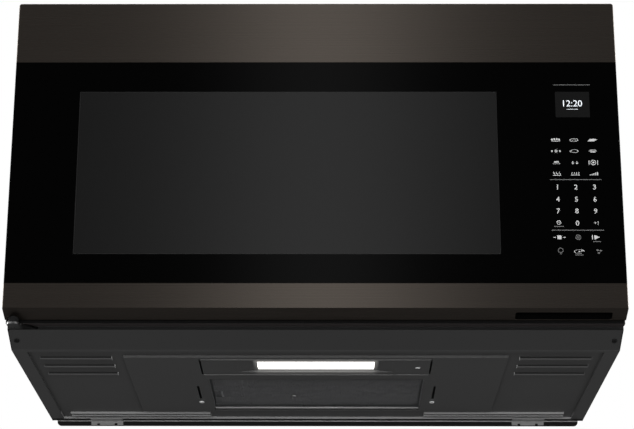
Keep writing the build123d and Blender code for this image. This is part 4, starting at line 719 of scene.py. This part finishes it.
aluminium = plated("filter_aluminium", (0.38, 0.38, 0.39), 0.45, 0.5)
low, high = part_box("filter_mesh")
middle = ((low[0] + high[0]) / 2, (low[1] + high[1]) / 2)
for number, z in enumerate(LAYER_HEIGHTS):
    mesh = mesh_from_tree(
        "filter_layer_%d" % number, tree,
        Width=FILTER_WIDTH - number * CELL_WIDTH, Depth=FILTER_DEPTH - number * CELL_DEPTH,
        Cell_Width=CELL_WIDTH, Cell_Depth=CELL_DEPTH, Strand=STRAND, Ripple=RIPPLE,
        Ripple_Scale=RIPPLES_PER_METRE, Seed=float(number), Centre=(*middle, z),
        Finish=aluminium)
    layer = piece_from_mesh("filter_layer_%d" % number, mesh, "case")
    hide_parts("filter_mesh")
    print(layer.name, "triangles:", sum(len(p.vertices) - 2 for p in mesh.polygons))

# %% [markdown]
# The keys are printed on the glass in white ink. Plain numbers stand as they are. The rest
# are small generic signs, each drawn from bars, rings and polygons, because signs need no
# language. All of it lies a little proud of the glass.

# %% drawing tools for the print
PRINT_Y = -463.8 * MM
TOP_OF_DOOR = 437.5
CAP_SHARE = 0.70
DISC_SIDES = 20
WELD = 0.001 * MM


def turns(sides):
    return [2 * math.pi * i / sides for i in range(sides)]


class Print:
    """Flat marks in millimetres from the case's middle and from the door's top edge."""

    def __init__(self, lift=0.0):
        self.bm = bmesh.new()
        self.y = PRINT_Y - lift

    def poly(self, points):
        corners = [self.bm.verts.new((x * MM, self.y, (z + TOP_OF_DOOR) * MM)) for x, z in points]
        face = self.bm.faces.new(corners)
        face.normal_update()
        if face.normal.y > 0:
            face.normal_flip()

    def bar(self, x, z, width, height, turn=0.0):
        c, s = math.cos(turn), math.sin(turn)
        half = ((-1, -1), (1, -1), (1, 1), (-1, 1))
        self.poly([(x + c * i * width / 2 - s * j * height / 2,
                    z + s * i * width / 2 + c * j * height / 2) for i, j in half])

    def disc(self, x, z, radius, squash=1.0):
        self.poly([(x + radius * math.cos(t), z + squash * radius * math.sin(t))
                   for t in turns(DISC_SIDES)])

    def arc(self, x, z, radius, line, start=0.0, end=360.0, squash=1.0, steps=24):
        angles = [math.radians(start + (end - start) * i / steps) for i in range(steps + 1)]
        inner, outer = radius - line / 2, radius + line / 2
        for a, b in zip(angles, angles[1:]):
            self.poly([(x + r * math.cos(t), z + squash * r * math.sin(t))
                       for r, t in ((inner, a), (outer, a), (outer, b), (inner, b))])

    def digits(self, text, x, z, height, weight):
        curve = bpy.data.curves.new("digits", "FONT")
        curve.body = text
        curve.size = height / CAP_SHARE
        curve.offset = weight
        curve.align_x = "CENTER"
        curve.align_y = "CENTER"
        curve.resolution_u = 4
        mesh = plain_mesh(in_scene("digits", curve))
        corners = [v.co for v in mesh.vertices]
        mid_x = (min(c.x for c in corners) + max(c.x for c in corners)) / 2
        mid_y = (min(c.y for c in corners) + max(c.y for c in corners)) / 2
        for face in mesh.polygons:
            self.poly([(x + corners[i].x - mid_x, z + corners[i].y - mid_y) for i in face.vertices])

    def finish(self, name, material):
        bmesh.ops.remove_doubles(self.bm, verts=self.bm.verts, dist=WELD)
        piece = piece_from_mesh(name, mesh_of(name, self.bm), "door", material)
        print(name, "faces:", len(piece.data.polygons))


# %% [markdown]
# Twelve signs stand for the twelve ready programmes, in four rows of three.

# %% signs
def sign_corn(p, x, z):
    for dx, dz in ((-4.4, 0.7), (-1.5, 1.3), (1.5, 1.3), (4.4, 0.7)):
        p.disc(x + dx, z + dz, 1.3)
    p.bar(x, z - 1.4, 11.0, 0.9)


def sign_tuber(p, x, z):
    p.arc(x, z, 5.0, 0.9, squash=0.42)
    for dx in (-2.0, 0.3, 2.4):
        p.disc(x + dx, z, 0.55)


def sign_leaf(p, x, z):
    p.poly([(x - 6.0, z - 1.6), (x - 3.0, z + 1.4), (x + 1.5, z + 1.9), (x + 6.0, z + 0.6),
            (x + 2.5, z - 1.5), (x - 2.0, z - 1.9)])


def sign_frost(p, x, z):
    for turn in (0, 60, 120):
        p.bar(x, z, 4.8, 0.7, math.radians(turn))
    for dx in (-5.0, 5.0):
        p.disc(x + dx, z, 1.1)


def sign_again(p, x, z):
    p.arc(x, z, 4.6, 0.9, 20, 200, squash=0.42)
    p.arc(x, z, 4.6, 0.9, 220, 380, squash=0.42)
    p.poly([(x - 6.2, z + 0.2), (x - 3.0, z + 0.2), (x - 4.6, z - 1.6)])


def sign_pot(p, x, z):
    p.bar(x, z - 0.6, 6.4, 2.4)
    p.bar(x, z + 1.4, 7.6, 0.7)
    p.bar(x, z + 0.1, 9.6, 0.7)


def sign_soft(p, x, z):
    p.bar(x, z + 0.8, 6.0, 1.8)
    p.arc(x - 2.4, z - 1.0, 2.0, 0.8, 190, 350, squash=0.5)
    p.arc(x + 2.4, z - 1.0, 2.0, 0.8, 190, 350, squash=0.5)


def sign_drop(p, x, z):
    for dx in (-2.6, 2.6):
        p.disc(x + dx, z - 0.6, 1.4)
        p.poly([(x + dx - 1.25, z - 0.1), (x + dx + 1.25, z - 0.1), (x + dx, z + 2.2)])


def sign_plate(p, x, z):
    p.arc(x, z, 3.0, 0.8)
    p.disc(x, z, 1.3)
    p.bar(x - 5.4, z, 0.9, 5.6)
    p.bar(x + 5.4, z, 0.9, 5.6)


def sign_warm(p, x, z):
    for dx in (-3.6, 0.0, 3.6):
        p.arc(x + dx, z + 1.3, 0.9, 0.7, 90, 270)
        p.arc(x + dx, z - 0.5, 0.9, 0.7, -90, 90)
    p.bar(x, z - 2.2, 10.0, 0.7)


def sign_steam(p, x, z):
    for dx in (-4.2, -1.4, 1.4, 4.2):
        p.bar(x + dx, z + 0.3, 0.8, 3.4, math.radians(-18))
    p.bar(x, z - 1.9, 11.0, 0.7)


def sign_level(p, x, z):
    for i in range(5):
        height = 1.0 + 0.75 * i
        p.bar(x - 4.4 + 2.2 * i, z - 2.0 + height / 2, 1.4, height)


# %% [markdown]
# Each group keeps its place from the picture: the programmes on top, the numbers between two
# thin rules, and the large keys at the bottom. The bright signs are one piece of print.

# %% keys
KEY_COLUMNS = (299.6, 322.4, 345.4)
SIGN_ROWS = ((-187.6, (sign_corn, sign_tuber, sign_leaf)),
             (-202.4, (sign_frost, sign_again, sign_pot)),
             (-217.6, (sign_soft, sign_drop, sign_plate)),
             (-232.4, (sign_warm, sign_steam, sign_level)))
DIGIT_ROWS = ((-250.0, "123"), (-266.0, "456"), (-281.4, "789"))
DIGIT_HEIGHT = 6.4
DIGIT_WEIGHT = 0.10
STOP_ROW = -315.6
DIAL_Z = -334.0


def ink(name, level):
    material = new_material(name, grey(level), 0.5, Specular_IOR_Level=0.2)
    vary_tone(material, noise_on(material, 2500.0, 1.0), grey(level), 0.8)
    return material


def print_keys():
    p = Print()
    for z, row in SIGN_ROWS:
        for x, sign in zip(KEY_COLUMNS, row):
            sign(p, x, z)
    for z, row in DIGIT_ROWS:
        for x, digit in zip(KEY_COLUMNS, row):
            p.digits(digit, x, z, DIGIT_HEIGHT, DIGIT_WEIGHT)
    x0, x1, x2 = KEY_COLUMNS
    p.digits("0", x1, -297.2, DIGIT_HEIGHT, DIGIT_WEIGHT)
    p.arc(x0, -296.4, 2.4, 0.8)
    p.bar(x0 + 0.7, -296.0, 1.6, 0.6)
    p.bar(x0, -295.6, 0.6, 1.8)
    p.digits("+1", x2, -297.0, 4.6, 0.05)
    p.bar(x0, STOP_ROW, 5.0, 5.0)
    p.bar(x0 - 6.0, STOP_ROW, 3.2, 0.9)
    p.bar(x0 + 6.0, STOP_ROW, 3.2, 0.9)
    p.poly([(x2 - 3.0, STOP_ROW + 3.0), (x2 + 3.6, STOP_ROW), (x2 - 3.0, STOP_ROW - 3.0)])
    p.bar(x2 - 5.4, STOP_ROW, 1.2, 6.0)
    p.arc(x1 + 0.6, DIAL_Z, 6.0, 0.8, 0, 300, squash=0.4)
    p.poly([(x1 + 3.2, DIAL_Z + 3.0), (x1 + 6.6, DIAL_Z + 1.4), (x1 + 3.2, DIAL_Z)])
    p.disc(x1 + 0.6, DIAL_Z, 1.0)
    p.finish("key_print", ink("key_ink", 0.62))


print_keys()

# %% [markdown]
# The rules and a few small marks are fainter, so they are a second piece in a greyer ink.

# %% fainter marks
RULES_Z = (-240.2, -306.4)


def print_soft_marks():
    p = Print()
    x0, x1, x2 = KEY_COLUMNS
    for z in RULES_Z:
        p.bar(x1 + 0.2, z, 64.0, 0.9)
    p.bar(x0, -301.6, 12.0, 0.9)
    p.bar(x2, -321.0, 9.0, 0.9)
    p.bar(x1 + 0.6, -338.4, 10.0, 0.9)
    p.arc(x1 + 0.3, STOP_ROW, 3.1, 0.8)
    for dx in (-1.2, 0.0, 1.2):
        p.bar(x1 + 0.3 + dx, STOP_ROW, 0.6, 4.0)
    p.arc(x0 + 0.8, -332.4, 2.9, 0.8)
    p.bar(x0 + 0.8, -337.0, 2.6, 0.9)
    for turn in (20, 140, 260):
        angle = math.radians(turn)
        p.disc(x2 + 2.0 + 2.2 * math.cos(angle), -333.6 + 2.2 * math.sin(angle), 1.5, 0.8)
    p.bar(x1 + 0.1, -113.0, 46.0, 0.8)
    p.finish("key_print_soft", ink("soft_ink", 0.16))


print_soft_marks()

# %% [markdown]
# The clock shows white digits on a panel that is a shade lighter than the glass around it.
# The digits glow a little by themselves, and lie just in front of the panel.

# %% clock display
CLOCK_PANEL = (322.5, -139.7, 43.0, 34.5)
CLOCK_DIGITS = (322.8, -138.2, 8.4, 0.02)
CLOCK_BAR = (322.2, -146.2, 14.0, 0.5)
CLOCK_COLOR = (0.70, 0.74, 0.78)
CLOCK_LIFT = 0.08 * MM


def clock_light():
    material = new_material("clock_light", CLOCK_COLOR, 0.5, Emission_Strength=0.55)
    vary_tone(material, noise_on(material, 900.0, 1.0), CLOCK_COLOR, 0.9, "Emission Color")
    return material


panel = Print()
panel.bar(*CLOCK_PANEL)
panel.finish("clock_panel", ink("clock_panel_print", 0.0055))
clock = Print(CLOCK_LIFT)
clock.digits("12:20", *CLOCK_DIGITS)
clock.bar(*CLOCK_BAR)
clock.finish("clock_digits", clock_light())

# %% [markdown]
# Folded sheet has no sharp end: its border is turned back into a small round hem. The hems at the rear
# of the underside catch the light as thin bright lines. The long edges of the lamp cover have a
# painted bead of the same kind, in a grey about twice as light as the cover's: in part a painted
# highlight along those edges. Each one is a thin rod along X.

# %% rolled hems and beads
HEMS = ((371.0, -3.4, -0.85, 0.85), (141.0, -80.3, 0.4, 1.3))
BEADS = ((146.0, -339.2, 0.1, 0.8), (146.0, -263.8, 0.1, 0.8))
ROD_SIDES = 10


def skin(bm, rings):
    """Faces between rings of points, and a cap on the first and on the last ring."""
    for one, other in zip(rings, rings[1:]):
        for i in range(len(one)):
            j = (i + 1) % len(one)
            bm.faces.new((one[i], one[j], other[j], other[i]))
    bm.faces.new(rings[0])
    bm.faces.new(rings[-1])


def rods(name, rows, material):
    """Rods from rows of half width, depth, height and radius in millimetres."""
    bm = bmesh.new()
    for half_width, y, z, radius in rows:
        skin(bm, [[bm.verts.new((x * MM, (y + radius * math.cos(t)) * MM,
                                 (z + radius * math.sin(t)) * MM)) for t in turns(ROD_SIDES)]
                  for x in (-half_width, half_width)])
    bmesh.ops.recalc_face_normals(bm, faces=bm.faces)
    mesh = mesh_of(name, bm)
    for face in mesh.polygons:
        face.use_smooth = len(face.vertices) == 4
    piece_from_mesh(name, mesh, "case", material)
    print(name, "rods:", len(rows))


hem_metal = plated("hem_metal", grey(0.40), 0.45, 0.3)
rods("rolled_hems", HEMS, hem_metal)
# Painted highlight in part: the beads' paint is lighter than the cover's.
rods("lamp_cover_beads", BEADS, satin_paint("bead_paint", grey(0.17), 0.5))

# %% [markdown]
# One screw holds the lamp cover, and one rivet joins the filter's layers. Both are low domes
# turned about an upright axis, and the screw has a cross cut, shown by two thin dark bars.

# %% cover screw and filter rivet
SCREW_PLACE = (131.0, -299.0, 0.0)
RIVET_PLACE = (-31.0, -137.0, 3.6)
DOME_STEPS = 6
DOME_SIDES = 24
CUT_LENGTH = 3.6
CUT_WIDTH = 0.8
CUT_THICK = 0.3


def dome(bm, x, y, z, radius, height):
    """A dome that hangs below the plane z."""
    rings = []
    for step in range(DOME_STEPS):
        turn = math.radians(90 * step / DOME_STEPS)
        r, drop = radius * math.cos(turn), height * math.sin(turn)
        rings.append([bm.verts.new(((x + r * math.cos(a)) * MM, (y + r * math.sin(a)) * MM,
                                    (z - drop) * MM)) for a in turns(DOME_SIDES)])
    skin(bm, rings)


def slab(bm, x, y, z, width, depth):
    for vert in bmesh.ops.create_cube(bm, size=1.0)["verts"]:
        c = vert.co
        vert.co = Vector(((x + c.x * width) * MM, (y + c.y * depth) * MM,
                          (z + c.z * CUT_THICK) * MM))


def small_fixing(name, place, radius, height, metal, cuts=()):
    """A domed head, with dark cuts given by their width and depth."""
    x, y, z = place
    bm = bmesh.new()
    dome(bm, x, y, z, radius, height)
    head = len(bm.faces)
    for width, depth in cuts:
        slab(bm, x, y, z - height, width, depth)
    bmesh.ops.recalc_face_normals(bm, faces=bm.faces)
    for number, face in enumerate(bm.faces):
        face.material_index = int(number >= head)
        face.smooth = number < head - 2
    piece_from_mesh(name, mesh_of(name, bm), "case", metal, case_paint)
    print(name, "at", place)


small_fixing("lamp_cover_screw", SCREW_PLACE, radius=3.4, height=1.4, metal=screw_steel,
             cuts=((CUT_LENGTH, CUT_WIDTH), (CUT_WIDTH, CUT_LENGTH)))
small_fixing("filter_rivet", RIVET_PLACE, radius=2.8, height=1.2, metal=hem_metal)

# %% [markdown]
# The photograph was taken with a long lens from well below. The camera's place and turn were
# worked out from the edges of the door and the underside.

# %% camera
CAMERA_PLACE = Vector((18.75, -2731.5, -639.2)) * MM
CAMERA_YAW = math.radians(-0.42)
CAMERA_PITCH = math.radians(19.22)
CAMERA_ROLL = math.radians(0.15)
LENS_MM = 110.65
SENSOR_MM = 36.0
SIGHT_END = 300.0


def look_matrix(place, yaw, pitch, roll):
    ahead = Vector((math.sin(yaw) * math.cos(pitch), math.cos(yaw) * math.cos(pitch), math.sin(pitch)))
    right = Vector((math.cos(yaw), -math.sin(yaw), 0))
    up = right.cross(ahead)
    turned_right = math.cos(roll) * right + math.sin(roll) * up
    turned_up = math.cos(roll) * up - math.sin(roll) * right
    turn = Matrix((turned_right, turned_up, -ahead)).transposed().to_4x4()
    return Matrix.Translation(place) @ turn


camera = in_scene("camera", bpy.data.cameras.new("camera"))
camera.data.lens = LENS_MM
camera.data.sensor_width = SENSOR_MM
camera.data.sensor_fit = "HORIZONTAL"
camera.data.clip_end = SIGHT_END
camera.matrix_world = look_matrix(CAMERA_PLACE, CAMERA_YAW, CAMERA_PITCH, CAMERA_ROLL)
bpy.context.scene.camera = camera
print("camera at", [round(v, 3) for v in CAMERA_PLACE])

# %% [markdown]
# The picture has a plain white ground, like a studio. The world is white to the camera, and
# to mirror and glass rays too. To all other rays it is a soft light, stronger from above.

# %% white world
WHITE = (1, 1, 1, 1)
LIGHT_FROM_ABOVE = 0.55
LIGHT_FROM_BELOW = 0.30
HORIZON = (-0.1, 0.1)


def white_world():
    world = bpy.data.worlds.new("studio_world")
    world.use_nodes = True
    height = axis_of(world, "Z", add(world, "ShaderNodeTexCoord").outputs["Generated"])
    light = world.node_tree.nodes["Background"]
    feed(world, light.inputs["Color"], WHITE)
    feed(world, light.inputs["Strength"],
         remap(world, height, *HORIZON, LIGHT_FROM_BELOW, LIGHT_FROM_ABOVE))
    white = wired(world, "ShaderNodeBackground", {"Color": WHITE, "Strength": 1.0})
    path = add(world, "ShaderNodeLightPath").outputs
    seen = path["Is Camera Ray"]
    for kind in ("Is Glossy Ray", "Is Transmission Ray"):
        seen = calc(world, "MAXIMUM", seen, path[kind])
    mix = wired(world, "ShaderNodeMixShader", {0: seen, 1: light.outputs[0], 2: white})
    feed(world, world.node_tree.nodes["World Output"].inputs["Surface"], mix)
    bpy.context.scene.world = world
    print("world light from below and above:", LIGHT_FROM_BELOW, LIGHT_FROM_ABOVE)


white_world()

# %% [markdown]
# What dark steel and black glass show is mostly a mirror image of the room. Here the room is
# a large ball round the part, which only mirror rays meet. It is dim, with one soft glow in
# front, above the camera, so the steel is bright in the middle of the door and fades to both
# sides. Paler fields at the sides and behind are there for views from the side and the back.
# Each field is given by its level and by where it starts and is full, in shares of the radius.

# %% the ball that is mirrored
BALL_RADIUS = 24.0
GLOW_TILT = math.radians(15)
GLOW_CENTRE = -0.004
GLOW_WIDTH = 0.050
GLOW_HEIGHT = 0.42
GLOW_LEVEL = 0.61
ROOM_LEVELS = (0.05, 0.08)
ROOM_HEIGHT = (-0.6, -0.1)
SIDE_LEVEL = 0.45
SIDE_WIDTH = (0.30, 0.55)
SIDE_HEIGHT = (-0.5, 0.0)
BACK_LEVEL = 0.45
BACK_DEPTH = (0.1, 0.4)
BACK_HEIGHT = (-0.20, 0.10)
HIDDEN_FROM = ("camera", "diffuse", "transmission", "shadow", "volume_scatter")


def bell(material, value, centre, width):
    """exp(-((value - centre) / width) squared)"""
    scaled = calc(material, "DIVIDE", calc(material, "SUBTRACT", value, centre), width)
    square = calc(material, "MULTIPLY", scaled, scaled)
    return calc(material, "EXPONENT", calc(material, "MULTIPLY", square, -1.0))


def ball_light():
    material = bpy.data.materials.new("mirrored_ball_light")
    material.use_nodes = True
    material.node_tree.nodes.clear()
    across = calc(material, "DIVIDE", axis_of(material, "X"), BALL_RADIUS)
    upward = calc(material, "DIVIDE", axis_of(material, "Z"), BALL_RADIUS)
    depth = calc(material, "DIVIDE", axis_of(material, "Y"), BALL_RADIUS)
    glow = product(material, bell(material, across, GLOW_CENTRE, GLOW_WIDTH),
                   bell(material, upward, math.sin(GLOW_TILT), GLOW_HEIGHT),
                   calc(material, "LESS_THAN", depth, 0.0))
    room = remap(material, upward, *ROOM_HEIGHT, *ROOM_LEVELS)
    aside = calc(material, "ABSOLUTE", across)
    sides = product(material, remap(material, aside, *SIDE_WIDTH, 0.0, SIDE_LEVEL),
                    remap(material, upward, *SIDE_HEIGHT, 0.0, 1.0))
    back = product(material, remap(material, depth, *BACK_DEPTH, 0.0, 1.0),
                   remap(material, upward, *BACK_HEIGHT, 0.0, BACK_LEVEL))
    level = calc(material, "MULTIPLY", glow, GLOW_LEVEL)
    for part in (room, sides, back):
        level = calc(material, "ADD", level, part)
    light = wired(material, "ShaderNodeEmission", {"Strength": level})
    feed(material, add(material, "ShaderNodeOutputMaterial").inputs["Surface"], light)
    return material


def mirrored_ball():
    bm = bmesh.new()
    bmesh.ops.create_uvsphere(bm, u_segments=96, v_segments=48, radius=BALL_RADIUS)
    bmesh.ops.reverse_faces(bm, faces=bm.faces)
    ball = in_scene("mirrored_ball", mesh_of("mirrored_ball", bm))
    ball.data.materials.append(ball_light())
    for kind in HIDDEN_FROM:
        setattr(ball, "visible_" + kind, False)
    print(ball.name, "radius:", BALL_RADIUS)


mirrored_ball()

# %% [markdown]
# Four softboxes light the paint and the plastic: a low one in front, one on each side behind
# the part, and one above it. The front one leaves no spot in steel or glass, because mirror
# rays don't meet it.

# %% softboxes
SOFTBOXES = (("front_softbox", (0.0, -3.6, -0.5), (0, -0.3, 0.0), (2.4, 0.9), 80.0),
             ("side_softbox", (-3.0, 1.2, 1.2), (0, 0, 0.2), (1.6, 1.6), 45.0),
             ("side_softbox", (3.0, 1.2, 1.2), (0, 0, 0.2), (1.6, 1.6), 45.0),
             ("top_softbox", (0.0, 0.9, 3.2), (0, -0.1, 0.2), (2.0, 1.6), 40.0))

for name, place, target, size, power in SOFTBOXES:
    lamp = in_scene(name, bpy.data.lights.new(name, "AREA"))
    lamp.data.shape = "RECTANGLE"
    lamp.data.size, lamp.data.size_y = size
    lamp.data.energy = power
    lamp.location = place
    lamp.rotation_euler = (Vector(target) - Vector(place)).to_track_quat("-Z", "Y").to_euler()
    lamp.visible_glossy = name != "front_softbox"
    print(lamp.name, "watts:", power)

# %% [markdown]
# A pale floor lies well below the part, so that a camera can also look up at its underside.
# Only the camera and the lamps know of it: the light from below comes from the world.

# %% floor
FLOOR_Z = -6.0
FLOOR_REACH = 80.0
FLOOR_GREY = 0.86
FLOOR_LIFT = 0.34


def pale_floor():
    bm = bmesh.new()
    bm.faces.new([bm.verts.new((x * FLOOR_REACH, y * FLOOR_REACH, FLOOR_Z))
                  for x, y in ((-1, -1), (1, -1), (1, 1), (-1, 1))])
    floor = in_scene("floor", mesh_of("floor", bm))
    material = new_material("pale_floor", grey(FLOOR_GREY), 0.9, Specular_IOR_Level=0.1)
    seen = add(material, "ShaderNodeLightPath").outputs["Is Camera Ray"]
    set_input(material, "Emission Color", WHITE)
    set_input(material, "Emission Strength", remap(material, seen, 0, 1, 0, FLOOR_LIFT))
    floor.data.materials.append(material)
    floor.visible_glossy = False
    floor.visible_diffuse = False
    print(floor.name, "at height", FLOOR_Z)


pale_floor()
bpy.context.scene.view_settings.view_transform = "Standard"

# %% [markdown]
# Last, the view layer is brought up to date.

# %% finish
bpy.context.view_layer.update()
